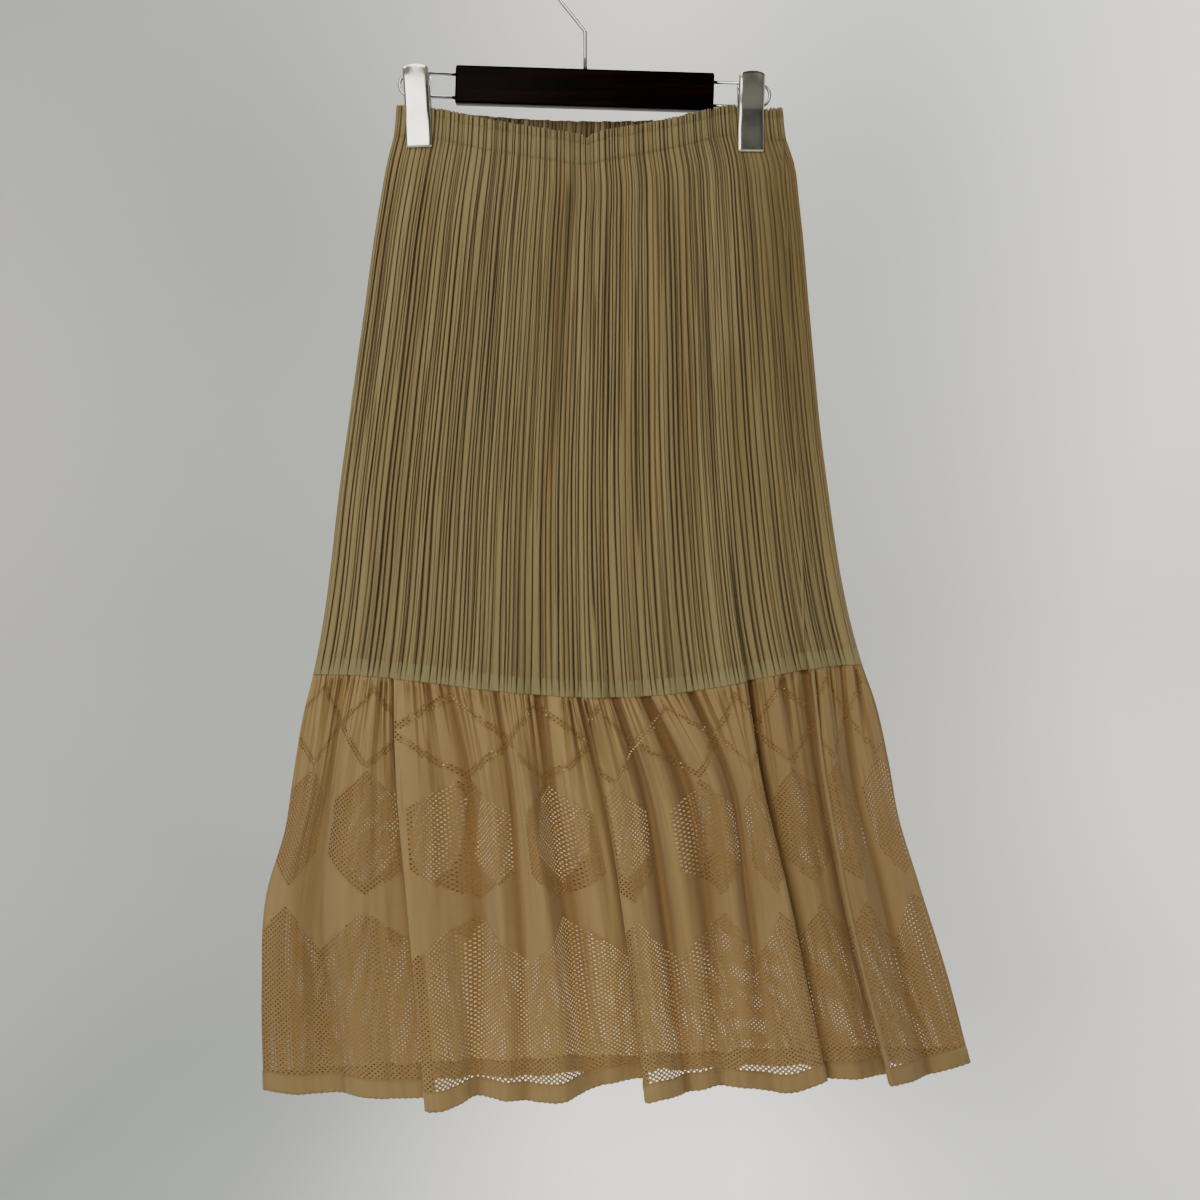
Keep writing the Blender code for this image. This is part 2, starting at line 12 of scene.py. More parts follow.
import bpy
import numpy as np
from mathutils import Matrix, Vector


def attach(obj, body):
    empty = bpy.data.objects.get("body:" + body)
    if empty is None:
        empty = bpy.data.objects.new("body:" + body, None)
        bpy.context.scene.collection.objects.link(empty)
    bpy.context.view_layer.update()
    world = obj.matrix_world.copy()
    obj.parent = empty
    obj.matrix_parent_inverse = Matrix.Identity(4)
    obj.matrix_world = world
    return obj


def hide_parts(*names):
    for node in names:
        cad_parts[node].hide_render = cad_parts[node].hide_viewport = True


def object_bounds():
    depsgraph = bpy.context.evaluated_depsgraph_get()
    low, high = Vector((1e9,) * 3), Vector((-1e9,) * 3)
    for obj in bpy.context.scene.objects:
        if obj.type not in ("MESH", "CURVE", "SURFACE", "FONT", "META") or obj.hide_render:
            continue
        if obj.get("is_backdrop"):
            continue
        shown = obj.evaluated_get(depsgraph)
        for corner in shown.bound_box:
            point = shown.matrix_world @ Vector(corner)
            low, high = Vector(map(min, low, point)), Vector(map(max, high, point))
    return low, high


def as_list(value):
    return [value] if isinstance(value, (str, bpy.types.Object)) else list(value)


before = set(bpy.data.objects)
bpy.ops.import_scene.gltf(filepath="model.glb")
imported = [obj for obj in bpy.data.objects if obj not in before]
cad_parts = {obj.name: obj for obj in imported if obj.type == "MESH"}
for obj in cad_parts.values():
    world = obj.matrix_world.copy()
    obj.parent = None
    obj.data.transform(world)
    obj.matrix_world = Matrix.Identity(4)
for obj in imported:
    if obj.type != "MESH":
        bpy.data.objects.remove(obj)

CAD_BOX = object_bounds()
LOG = logging.getLogger("pleated_skirt")
Array = np.ndarray
Colour = tuple[float, float, float, float]
Input = float | tuple[float, ...] | bpy.types.NodeSocket
FoldRow = tuple[str, tuple[float, ...], tuple[float, ...], float]


class Side(Enum):
    """The front and the back of the skirt."""

    FRONT = "front"
    BACK = "back"

    @property
    def sign(self) -> float:
        """The side's direction along Y."""
        return -1.0 if self is Side.FRONT else 1.0

    def seed(self, front: int) -> int:
        """The side's own seed: the given one at the front, the next at the back."""
        return front if self is Side.FRONT else front + 1


class Slot(Enum):
    """The record's material slots."""

    PLEATED = "pleated_cloth"
    OPENWORK = "openwork_cloth"
    WOOD = "dark_wood"
    CHROME = "chrome_wire"
    STEEL = "satin_steel"


def hermite(levels: Array, values: Array, at: Array) -> Array:
    """Reads a smooth curve: a cubic between levels, with slopes taken from its neighbours.

    Args:
        levels: rising places where the curve is known.
        values: what it is there, one row for each level.
        at: the places to read, of any shape.

    Returns:
        The values at those places, with at's shape first.
    """
    levels = np.asarray(levels, float)
    values = np.asarray(values, float)
    slopes = np.gradient(values, levels, axis=0)
    at = np.clip(np.asarray(at, float), levels[0], levels[-1])
    low = np.clip(np.searchsorted(levels, at, side="right") - 1, 0, len(levels) - 2)
    step = levels[low + 1] - levels[low]
    t = (at - levels[low]) / step
    shape = t.shape + (1,) * (values.ndim - 1)
    t, step = t.reshape(shape), step.reshape(shape)
    return (
        (2 * t**3 - 3 * t**2 + 1) * values[low]
        + (t**3 - 2 * t**2 + t) * step * slopes[low]
        + (3 * t**2 - 2 * t**3) * values[low + 1]
        + (t**3 - t**2) * step * slopes[low + 1]
    )


def smoothstep(low: float, high: float, at: Array) -> Array:
    """0 below low, 1 above high and a smooth rise between them."""
    t = np.clip((at - low) / (high - low), 0, 1)
    return t * t * (3 - 2 * t)


def waver(seed: float, *phases: Array) -> Array:
    """A smooth uneven wave from -1 to 1: three sines of unlike lengths, added.

    Args:
        seed: shifts the sines, so that no two wavers are alike.
        phases: the places, in radians of the longest wave, one array for each direction.

    Returns:
        The wave at those places.
    """
    total = np.zeros(np.broadcast(*phases).shape)
    for n, (pace, share) in enumerate(((1.0, 0.5), (1.73, 0.3), (2.91, 0.2))):
        angle = seed * (1.3 + n)
        for k, phase in enumerate(phases):
            angle = angle + pace * phase * (1 + 0.37 * k)
        total = total + share * np.sin(angle + 2.1 * n)
    return total


def scatter(count: int, seed: int) -> Array:
    """Evenly spread numbers from 0 to 1 that look random and are always the same."""
    return np.random.default_rng(seed).random(count)


def turned(points: Array, angle: float) -> Array:
    """Turns points about the Y axis, so that +X dips by the angle."""
    cos, sin = math.cos(angle), math.sin(angle)
    x = points[..., 0] * cos + points[..., 2] * sin
    z = -points[..., 0] * sin + points[..., 2] * cos
    return np.stack([x, points[..., 1], z], axis=-1)


def fitted(piece: bpy.types.Object, slot: Slot, node: str | None = None) -> bpy.types.Object:
    """Makes a piece ride on the root body, and hides the solid that it stands for.

    Args:
        piece: the finished piece.
        slot: the record's slot for it; not used.
        node: the solid that it stands for, if it stands for one.

    Returns:
        The same piece.
    """
    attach(piece, "root")
    if node:
        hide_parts(node)
    return piece


class ClothMesh:
    """Turns arrays of points and faces into one object at the origin."""

    @staticmethod
    def build(
        name: str,
        points: Array,
        faces: list[Array],
        finish: bpy.types.Material,
        uv: Array | None = None,
        marks: dict[str, Array] | None = None,
    ) -> bpy.types.Object:
        """Makes a smooth mesh.

        Args:
            name: the piece's name.
            points: its points, in an array of any shape that ends in 3.
            faces: arrays of corner numbers, one array for each number of corners.
            finish: its material.
            uv: a place on the cloth in metres for each point, in an array that ends in 2.
            marks: numbers for the points that the finish reads, by name.

        Returns:
            The new object, linked into the scene.
        """
        mesh = bpy.data.meshes.new(name)
        points = np.ascontiguousarray(points, np.float32).reshape(-1, 3)
        loops = np.concatenate([f.reshape(-1) for f in faces]).astype(np.int32)
        totals = np.concatenate([np.full(len(f), f.shape[1]) for f in faces]).astype(np.int32)
        mesh.vertices.add(len(points))
        mesh.loops.add(len(loops))
        mesh.polygons.add(len(totals))
        mesh.vertices.foreach_set("co", points.reshape(-1))
        mesh.loops.foreach_set("vertex_index", loops)
        starts = np.concatenate([[0], np.cumsum(totals)[:-1]]).astype(np.int32)
        mesh.polygons.foreach_set("loop_start", starts)
        mesh.polygons.foreach_set("loop_total", totals)
        mesh.update(calc_edges=True)
        mesh.validate()
        mesh.shade_smooth()
        if uv is not None:
            layer = mesh.uv_layers.new(name="cloth")
            layer.data.foreach_set("uv", uv.reshape(-1, 2)[loops].astype(np.float32).reshape(-1))
        for mark, values in (marks or {}).items():
            attribute = mesh.attributes.new(mark, "FLOAT", "POINT")
            attribute.data.foreach_set("value", np.asarray(values, np.float32).reshape(-1))
        mesh.materials.append(finish)
        piece = bpy.data.objects.new(name, mesh)
        bpy.context.scene.collection.objects.link(piece)
        return piece

    @staticmethod
    def grid(rows: int, columns: int, flip: bool = False, closed: bool = False) -> Array:
        """The four-cornered faces of a grid of points.

        Args:
            rows: how many rows of points it has.
            columns: how many points a row has.
            flip: turns the faces over.
            closed: joins each row's last point to its first.

        Returns:
            The corner numbers, one row for each face.
        """
        wrap = columns if closed else columns - 1
        r, c = np.meshgrid(np.arange(rows - 1), np.arange(wrap), indexing="ij")
        right = (c + 1) % columns
        upper, lower = r * columns, (r + 1) * columns
        quads = np.stack([upper + c, lower + c, lower + right, upper + right], axis=-1)
        quads = quads.reshape(-1, 4)
        return quads[:, ::-1] if flip else quads

    @staticmethod
    def caps(rows: int, columns: int) -> list[Array]:
        """The two end faces of a closed grid of points."""
        i = np.arange(columns)
        return [i[None, :], ((rows - 1) * columns + i)[None, ::-1]]

    @staticmethod
    def thicken(piece: bpy.types.Object, wall: float, inward: bool = False) -> None:
        """Gives a sheet its wall, half to each side or all of it inward."""
        solid = piece.modifiers.new("cloth wall", "SOLIDIFY")
        solid.thickness = wall
        solid.offset = -1.0 if inward else 0.0
        solid.use_rim = True


class Graph:
    """A material's nodes, with short calls that add and join them."""

    def __init__(self, name: str) -> None:
        """Starts a material with one Principled shader."""
        self.material = bpy.data.materials.new(name)
        self.material.use_nodes = True
        self.tree = self.material.node_tree
        self.shader = self.tree.nodes["Principled BSDF"]
        self.output = self.tree.nodes["Material Output"]

    def node(
        self, kind: str, inputs: dict[str | int, Input] | None = None, **settings: str | bool
    ) -> bpy.types.Node:
        """Adds a node.

        Args:
            kind: Blender's name of the node.
            inputs: values or sockets for its inputs, by name or number.
            settings: its properties.

        Returns:
            The node.
        """
        made = self.tree.nodes.new(kind)
        for key, value in settings.items():
            setattr(made, key, value)
        for key, value in (inputs or {}).items():
            self.feed(made.inputs[key], value)
        return made

    def feed(self, socket: bpy.types.NodeSocket, value: Input) -> None:
        """Joins a socket to an input, or sets the input's value."""
        if isinstance(value, bpy.types.NodeSocket):
            self.tree.links.new(value, socket)
        else:
            socket.default_value = value

    def mark(self, name: str) -> bpy.types.NodeSocket:
        """Reads a number that the mesh carries."""
        return self.node("ShaderNodeAttribute", attribute_name=name).outputs["Fac"]

    def place(
        self, scale: tuple[float, float, float] = (1, 1, 1), source: str = "Object"
    ) -> bpy.types.NodeSocket:
        """Coordinates of a source, stretched by a scale."""
        coordinates = self.node("ShaderNodeTexCoord").outputs[source]
        mapping = self.node("ShaderNodeMapping", {"Vector": coordinates, "Scale": scale})
        return mapping.outputs[0]

    def axes(self) -> bpy.types.bpy_prop_collection:
        """Object coordinates, one socket for each of X, Y and Z."""
        return self.node("ShaderNodeSeparateXYZ", {0: self.place()}).outputs

    def noise(
        self, stretch: tuple[float, float, float], detail: float, rough: float = 0.5
    ) -> bpy.types.NodeSocket:
        """Stretched noise from 0 to 1, with a number of finer layers and their strength."""
        inputs = {"Vector": self.place(stretch), "Scale": 1.0}
        inputs |= {"Detail": detail, "Roughness": rough}
        return self.node("ShaderNodeTexNoise", inputs).outputs["Fac"]

    def cloth_noise(self, stretch: tuple[float, float]) -> bpy.types.NodeSocket:
        """Noise over the cloth's own plane, stretched along and down it."""
        inputs = {"Vector": self.place((*stretch, 1), "UV"), "Scale": 1.0}
        inputs |= {"Detail": 1.0, "Roughness": 0.55}
        return self.node("ShaderNodeTexNoise", inputs, noise_dimensions="2D").outputs["Fac"]

    def wave(self, pitch: float, axis: str, source: str = "UV") -> bpy.types.NodeSocket:
        """Soft even bands along an axis, about two thirds of the pitch apart."""
        inputs = {"Vector": self.place(source=source), "Scale": 0.5 / pitch, "Distortion": 0.0}
        settings = {"wave_type": "BANDS", "bands_direction": axis}
        return self.node("ShaderNodeTexWave", inputs, **settings).outputs["Fac"]

    def math(self, operation: str, *values: Input) -> bpy.types.NodeSocket:
        """One step of arithmetic on sockets and numbers."""
        inputs = dict(enumerate(values))
        return self.node("ShaderNodeMath", inputs, operation=operation).outputs[0]

    def remap(
        self, value: bpy.types.NodeSocket, low: float, high: float, to: tuple[float, float]
    ) -> bpy.types.NodeSocket:
        """Carries the range from low to high onto another, and clamps it there."""
        inputs = {0: value, 1: low, 2: high, 3: to[0], 4: to[1]}
        return self.node("ShaderNodeMapRange", inputs, clamp=True).outputs[0]

    def mix(self, share: Input, first: Input, second: Input) -> bpy.types.NodeSocket:
        """Mixes two colours.

        Args:
            share: how much of the second, a number or a socket.
            first: a colour or a socket.
            second: a colour or a socket.

        Returns:
            The mixed colour.
        """
        node = self.node("ShaderNodeMix", data_type="RGBA", blend_type="MIX")
        self.feed(node.inputs[0], share)
        self.feed(node.inputs[6], first)
        self.feed(node.inputs[7], second)
        return node.outputs[2]

    def bump(
        self, height: bpy.types.NodeSocket, strength: float, distance: float
    ) -> bpy.types.NodeSocket:
        """Turns a height into a tilt of the surface."""
        inputs = {"Height": height, "Strength": strength, "Distance": distance}
        return self.node("ShaderNodeBump", inputs).outputs[0]

    def dress(self, **inputs: Input) -> None:
        """Feeds the Principled shader's inputs, given with _ for a space."""
        for key, value in inputs.items():
            self.feed(self.shader.inputs[key.replace("_", " ")], value)

    def shine_through(
        self, colour: Input, share: Input, normal: bpy.types.NodeSocket
    ) -> None:
        """Lets light from behind glow through the cloth.

        Args:
            colour: the colour that it glows in.
            share: how much of the light passes, a number or a socket.
            normal: the surface's tilt.
        """
        glow = self.node("ShaderNodeBsdfTranslucent", {"Color": colour, "Normal": normal})
        shaders = {0: share, 1: self.shader.outputs[0], 2: glow.outputs[0]}
        mixed = self.node("ShaderNodeMixShader", shaders)
        self.tree.links.new(mixed.outputs[0], self.output.inputs["Surface"])


@dataclass(frozen=True)
class PleatedCloth:
    """Olive-khaki polyester, heat-set in fine pleats, with a soft sheen on its ridges."""

    name: str = "pleated khaki cloth"
    # The orange-brown colour mixed into a few ridges is a painted glow.
    # The ridge colour is the cloth's own; the colours of slopes and valleys are painted shade.
    ridge: Colour = (0.370, 0.282, 0.122, 1)
    slope_shade: Colour = (0.200, 0.137, 0.044, 1)
    valley: Colour = (0.034, 0.016, 0.003, 1)
    green: Colour = (0.325, 0.280, 0.125, 1)
    glow: Colour = (0.420, 0.230, 0.070, 1)
    painted_glow: Colour = (0.36, 0.20, 0.07, 1)
    roughness: float = 0.62
    thread: float = 0.00042
    hair_shade_share: float = 0.72
    allowance_share: float = 0.8
    glow_share: float = 0.16

    def build(self) -> bpy.types.Material:
        """Valleys get dark brown painted shade, ridges vary a little, and a plain weave lies over
        both.

        Painted shade darkens the cloth a little high up at the right, and painted light lightens
        it a little at its foot. A few ridges picked at random get a painted orange glow.
        """
        g = Graph(self.name)
        height, tint = g.mark("ridge"), g.mark("tint")
        # Painted shade by pleat height: the cloth's colour on ridges, darker on slopes, darkest in
        # valleys.
        steep = g.remap(height, 0.08, 0.66, (0, 1))
        upper = g.remap(height, 0.55, 0.97, (0, 1))
        cloth = g.mix(upper, g.mix(steep, self.valley, self.slope_shade), self.ridge)
        streaks = g.cloth_noise((900, 6))
        hair_crease_and_shade = g.cloth_noise((470, 2.4))
        hair_crease_and_shade = g.remap(hair_crease_and_shade, 0.58, 0.66, (0.0, 1.0))
        patches = g.noise((9, 9, 5), 1.0)
        cloth = g.mix(g.remap(streaks, 0.3, 0.7, (0.0, 0.22)), cloth, self.slope_shade)
        cloth = g.mix(g.remap(patches, 0.35, 0.7, (0.0, 0.35)), cloth, self.green)
        # Random tone and painted shade: ridges picked at random darken, as if turned from the light.
        cloth = g.mix(g.remap(tint, 0.0, 0.6, (0.30, 0.0)), cloth, self.slope_shade)
        # Painted glow: the highest-marked ridges turn orange, as if lit through the cloth.
        painted_glow = g.mix(0.55, cloth, self.painted_glow)
        cloth = g.mix(g.remap(tint, 0.88, 1.0, (0.0, 0.8)), cloth, painted_glow)
        # Painted shade in hair-thin creases, which the bump below also sinks.
        cloth = g.mix(g.math("MULTIPLY", hair_crease_and_shade, self.hair_shade_share), cloth, self.valley)
        axes = g.axes()
        # Painted shade: a little darker high up at the right.
        right = g.remap(axes["X"], 0.11, 0.17, (0.0, 0.85))
        high = g.remap(axes["Z"], -0.50, -0.25, (0.10, 1.0))
        cloth = g.mix(g.math("MULTIPLY", right, high), cloth, self.slope_shade)
        # Painted light: a little lighter towards the foot.
        cloth = g.mix(g.remap(axes["Z"], -0.57, -0.36, (0.26, 0.0)), cloth, self.ridge)
        edge = g.mix(steep, self.valley, self.green)
        allowance = g.math("MULTIPLY", g.mark("allowance"), self.allowance_share)
        cloth = g.mix(allowance, cloth, edge)
        weave = g.math("MULTIPLY", g.wave(self.thread, "X"), g.wave(self.thread, "Y"))
        crinkle = g.cloth_noise((260, 90))
        relief = g.math("ADD", g.math("MULTIPLY", weave, 0.35), crinkle)
        relief = g.math("SUBTRACT", relief, g.math("MULTIPLY", hair_crease_and_shade, 1.6))
        normal = g.bump(relief, 0.30, 0.0006)
        rough = g.remap(patches, 0.3, 0.7, (self.roughness - 0.07, self.roughness + 0.08))
        g.dress(Base_Color=cloth, Roughness=rough, Normal=normal)
        g.dress(Sheen_Weight=0.18, Sheen_Roughness=0.45, Specular_IOR_Level=0.35)
        g.shine_through(self.glow, self.glow_share, normal)
        return g.material


@dataclass(frozen=True)
class OpenworkCloth:
    """Peach-tan openwork cloth: thin, matt, a little see-through, warmer where it doubles."""

    name: str = "peach openwork cloth"
    face: Colour = (0.450, 0.305, 0.122, 1)
    meshed: Colour = (0.235, 0.142, 0.052, 1)
    # The recess colour is painted shade; the shade colour darkens random patches and slubs, and is
    # painted shade at the right.
    recess_shade: Colour = (0.155, 0.076, 0.018, 1)
    shade: Colour = (0.320, 0.213, 0.088, 1)
    glow: Colour = (0.620, 0.345, 0.100, 1)
    net_glow: Colour = (0.920, 0.660, 0.300, 1)
    roughness: float = 0.78
    thread: float = 0.00055
    net_share: float = 0.40
    gather_line_shade_share: float = 0.90
    glow_shares: tuple[float, float] = (0.13, 0.30)

    def build(self) -> bpy.types.Material:
        """Recesses get brown painted shade, the net turns brown, fine rows of knitting run across.

        Painted shade lies in dark lines that run down from the gathers and fade with them, and it
        darkens the cloth a little at the right. The net lets more light through where its mark
        "shone" is high.
        """
        g = Graph(self.name)
        deep, net, gather = g.mark("recess_shade"), g.mark("net"), g.mark("gather")
        patches = g.noise((7, 7, 4), 1.0)
        cloth = g.mix(g.remap(patches, 0.3, 0.7, (0.0, 0.6)), self.face, self.shade)
        cloth = g.mix(g.math("MULTIPLY", net, self.net_share), cloth, self.meshed)
        # Painted shade: a little darker towards the right.
        cloth = g.mix(g.remap(g.axes()["X"], 0.02, 0.17, (0.0, 0.55)), cloth, self.shade)
        # Painted shade in fine dark lines down from the gathers, which the bump below also sinks.
        lines = g.remap(g.cloth_noise((230, 8)), 0.52, 0.59, (0.0, 1.0))
        lines = g.math("MULTIPLY", lines, gather)
        cloth = g.mix(g.math("MULTIPLY", lines, self.gather_line_shade_share), cloth, self.recess_shade)
        # Painted shade in the recesses, stronger near the gathers.
        deep = g.remap(deep, 0.08, 1.0, (0.0, 1.0))
        shown = g.math("MULTIPLY", deep, g.remap(gather, 0.0, 0.8, (0.50, 0.95)))
        cloth = g.mix(shown, cloth, self.recess_shade)
        slubs = g.cloth_noise((60, 1500))
        cloth = g.mix(g.remap(slubs, 0.35, 0.7, (0.0, 0.16)), cloth, self.shade)
        knit = g.math("MULTIPLY", g.wave(self.thread, "Y"), g.wave(self.thread, "X"))
        relief = g.math("ADD", knit, slubs)
        relief = g.math("SUBTRACT", relief, g.math("MULTIPLY", lines, 2.2))
        normal = g.bump(relief, 0.28, 0.0006)
        rough = g.remap(patches, 0.3, 0.7, (self.roughness - 0.06, self.roughness + 0.08))
        g.dress(Base_Color=cloth, Roughness=rough, Normal=normal)
        g.dress(Sheen_Weight=0.22, Sheen_Roughness=0.5, Specular_IOR_Level=0.3)
        shone = g.mark("shone")
        share = g.remap(shone, 0.0, 1.0, self.glow_shares)
        g.shine_through(g.mix(shone, self.glow, self.net_glow), share, normal)
        return g.material


@dataclass(frozen=True)
class SewingThread:
    """Spun polyester thread, a little glossier than the cloth."""

    name: str
    colour: Colour
    twist: float = 0.00045

    def build(self) -> bpy.types.Material:
        """The thread's twist is a fine diagonal band of light and shade."""
        g = Graph(self.name)
        bands = g.wave(self.twist, "DIAGONAL", "Object")
        dark = tuple(0.6 * c for c in self.colour[:3]) + (1,)
        g.dress(Base_Color=g.mix(bands, dark, self.colour), Roughness=0.5)
        g.dress(Normal=g.bump(bands, 0.3, 0.0003), Sheen_Weight=0.2)
        return g.material


@dataclass(frozen=True)
class LacqueredWood:
    """Very dark red-brown lacquer over a straight grain that runs along the bar."""

    name: str = "dark lacquered wood"
    dark: Colour = (0.0016, 0.0004, 0.0004, 1)
    red: Colour = (0.0150, 0.0022, 0.0016, 1)

    def build(self) -> bpy.types.Material:
        """Stretched noise makes the grain, and finer noise its pores under the lacquer."""
        g = Graph(self.name)
        grain = g.noise((9, 90, 260), 5.0, 0.6)
        pores = g.noise((70, 900, 1800), 3.0, 0.6)
        clouds = g.noise((14, 14, 40), 2.0)
        wood = g.mix(g.remap(grain, 0.42, 0.68, (0.0, 0.8)), self.dark, self.red)
        wood = g.mix(g.remap(clouds, 0.35, 0.65, (0.0, 0.6)), wood, self.dark)
        g.dress(Base_Color=wood, Roughness=g.remap(pores, 0.3, 0.7, (0.24, 0.36)))
        g.dress(Normal=g.bump(g.math("ADD", grain, pores), 0.10, 0.0004))
        g.dress(Specular_IOR_Level=0.02)
        return g.material


@dataclass(frozen=True)
class Metal:
    """A plated steel: chrome wire or satin nickel, told apart by its colour and brushing."""

    name: str
    colour: Colour
    dull: Colour
    roughness: float
    brushed: tuple[float, float, float]
    relief: float

    def build(self) -> bpy.types.Material:
        """Fine scratches run one way, and hazy patches dull the plating a little."""
        g = Graph(self.name)
        scratches = g.noise(self.brushed, 4.0, 0.7)
        haze = g.noise((60, 60, 60), 3.0, 0.6)
        plating = g.mix(g.remap(haze, 0.4, 0.75, (0.0, 0.6)), self.colour, self.dull)
        rough = g.math("ADD", g.remap(haze, 0.3, 0.7, (0.0, 0.07)), self.roughness)
        g.dress(Base_Color=plating, Metallic=1.0, Roughness=rough)
        g.dress(Normal=g.bump(scratches, self.relief, 0.0002))
        return g.material


@dataclass(frozen=True)
class PalePaint:
    """The pale wall and floor behind the skirt, with painted light and shade uneven like the photo's
    wall.
    """

    name: str = "pale matt paint"
    # The dim and bright tones are the paint in painted shade and in painted light.
    dim: Colour = (0.34, 0.36, 0.345, 1)
    bright: Colour = (0.98, 0.95, 0.91, 1)
    level: float = 0.24
    wall_y: float = 2.6
    rise: float = 0.30
    painted_pools: tuple[tuple[float, float, float, float, float], ...] = (
        (1.42, -0.75, 0.50, 1.20, 1.05), (0.12, -1.70, 0.36, 0.55, 0.90),
        (0.05, 1.00, 0.42, 0.42, 0.45), (-1.45, -0.35, 0.40, 0.80, 0.25),
        (-0.75, -1.85, 0.42, 0.55, -0.30), (-0.75, 0.42, 0.40, 0.40, -0.10),
        (0.72, 0.45, 0.32, 0.42, -0.12),
    )

    def build(self) -> bpy.types.Material:
        """Painted light and shade: a bell in x and z for each pool, over broad clouds.

        A pool holds its middle in x and in z, its half width, its half height and its gain.
        On the floor, z is lowered by a share of the distance in front of the wall.
        """
        g = Graph(self.name)
        axes = g.axes()
        before_wall = g.math("SUBTRACT", self.wall_y, axes["Y"])
        z = g.math("SUBTRACT", axes["Z"], g.math("MULTIPLY", before_wall, self.rise))
        # The paint's tone, from shaded to lit, is this total of painted light and shade.
        total = self.level
        for middle_x, middle_z, wide, high, gain in self.painted_pools:
            off_x = g.math("DIVIDE", g.math("SUBTRACT", axes["X"], middle_x), wide)
            off_z = g.math("DIVIDE", g.math("SUBTRACT", z, middle_z), high)
            square = g.math("MULTIPLY_ADD", off_x, off_x, g.math("MULTIPLY", off_z, off_z))
            bell = g.math("EXPONENT", g.math("MULTIPLY", square, -1.0))
            total = g.math("MULTIPLY_ADD", bell, gain, total)
        clouds = g.noise((0.7, 0.7, 0.9), 1.0)
        total = g.math("MULTIPLY_ADD", clouds, 0.10, total)
        g.dress(Base_Color=g.mix(g.remap(total, 0.05, 1.05, (0.0, 1.0)), self.dim, self.bright))
        g.dress(Roughness=0.9)
        return g.material


@dataclass(frozen=True)
class Finishes:
    """Every finish of the part, made once."""

    pleated: bpy.types.Material
    openwork: bpy.types.Material
    khaki_thread: bpy.types.Material
    peach_thread: bpy.types.Material
    wood: bpy.types.Material
    chrome: bpy.types.Material
    nickel: bpy.types.Material
    paint: bpy.types.Material

    @classmethod
    def make(cls) -> "Finishes":
        """Builds each material."""
        return cls(
            pleated=PleatedCloth().build(),
            openwork=OpenworkCloth().build(),
            khaki_thread=SewingThread("khaki thread", (0.24, 0.19, 0.085, 1)).build(),
            peach_thread=SewingThread("peach thread", (0.42, 0.29, 0.13, 1)).build(),
            wood=LacqueredWood().build(),
            chrome=Metal(
                "chrome wire", (0.52, 0.52, 0.53, 1), (0.36, 0.36, 0.37, 1),
                0.09, (900, 900, 40), 0.04,
            ).build(),
            nickel=Metal(
                "satin nickel", (0.66, 0.65, 0.55, 1), (0.55, 0.54, 0.44, 1),
                0.13, (1800, 1800, 45), 0.05,
            ).build(),
            paint=PalePaint().build(),
        )


SECTION_COLUMNS = (
    "name", "z_left", "z_right", "x_left", "x_right", "sag_front", "sag_back",
    "sag_power", "sag_middle", "out_front", "out_back", "parts_within", "roundness",
    "parting",
)
# The tube's cross-sections from the waist to the hem, with those columns, in metres.
SECTIONS = (
    ("waist", -0.1198, -0.1228, -0.1508, 0.1580,
     0.0272, 0.0088, 1.6, 0.00, 0.0105, 0.0085, 0.78, 2.0, 1.4),
    ("band_foot", -0.1448, -0.1478, -0.1533, 0.1610,
     0.0268, 0.0088, 1.6, 0.00, 0.0120, 0.0100, 0.78, 2.0, 1.4),
    ("jaw_foot", -0.1614, -0.1640, -0.1575, 0.1665,
     0.0257, 0.0088, 1.6, 0.01, 0.0135, 0.0115, 0.79, 2.0, 1.4),
    ("high_hip", -0.1994, -0.1984, -0.1645, 0.1712,
     0.0245, 0.0095, 1.6, 0.02, 0.0160, 0.0150, 0.96, 2.1, 1.0),
    ("hip", -0.2904, -0.2884, -0.1776, 0.1796,
     0.0230, 0.0090, 1.7, 0.05, 0.0190, 0.0200, 1.0, 2.3, 1.0),
    ("thigh", -0.4094, -0.4054, -0.1942, 0.1912,
     0.0212, 0.0085, 1.8, 0.08, 0.0225, 0.0260, 1.0, 2.5, 1.0),
    ("seam", -0.5750, -0.5670, -0.2176, 0.2215,
     0.0195, 0.0080, 2.0, 0.12, 0.0250, 0.0310, 1.0, 2.6, 1.0),
    ("gather", -0.6054, -0.5964, -0.2252, 0.2318,
     0.0180, 0.0080, 1.9, 0.10, 0.0260, 0.0330, 1.0, 2.7, 1.0),
    ("upper", -0.6524, -0.6434, -0.2332, 0.2425,
     0.0160, 0.0080, 1.7, 0.06, 0.0270, 0.0360, 1.0, 2.8, 1.0),
    ("calf", -0.7000, -0.6900, -0.2405, 0.2510,
     0.0140, 0.0080, 1.5, 0.03, 0.0275, 0.0385, 1.0, 2.9, 1.0),
    ("middle", -0.7474, -0.7374, -0.2545, 0.2655,
     0.0120, 0.0080, 1.3, 0.00, 0.0280, 0.0410, 1.0, 2.9, 1.0),
    ("lower", -0.8274, -0.8144, -0.2590, 0.2895,
     0.0080, 0.0070, 1.0, 0.00, 0.0285, 0.0450, 1.0, 3.0, 1.0),
    ("hem", -0.9069, -0.8854, -0.2576, 0.3080,
     0.0040, 0.0060, 1.0, 0.00, 0.0290, 0.0490, 1.0, 3.0, 1.0),
)
FOLD_LEVELS = ("seam", "upper", "middle", "hem")
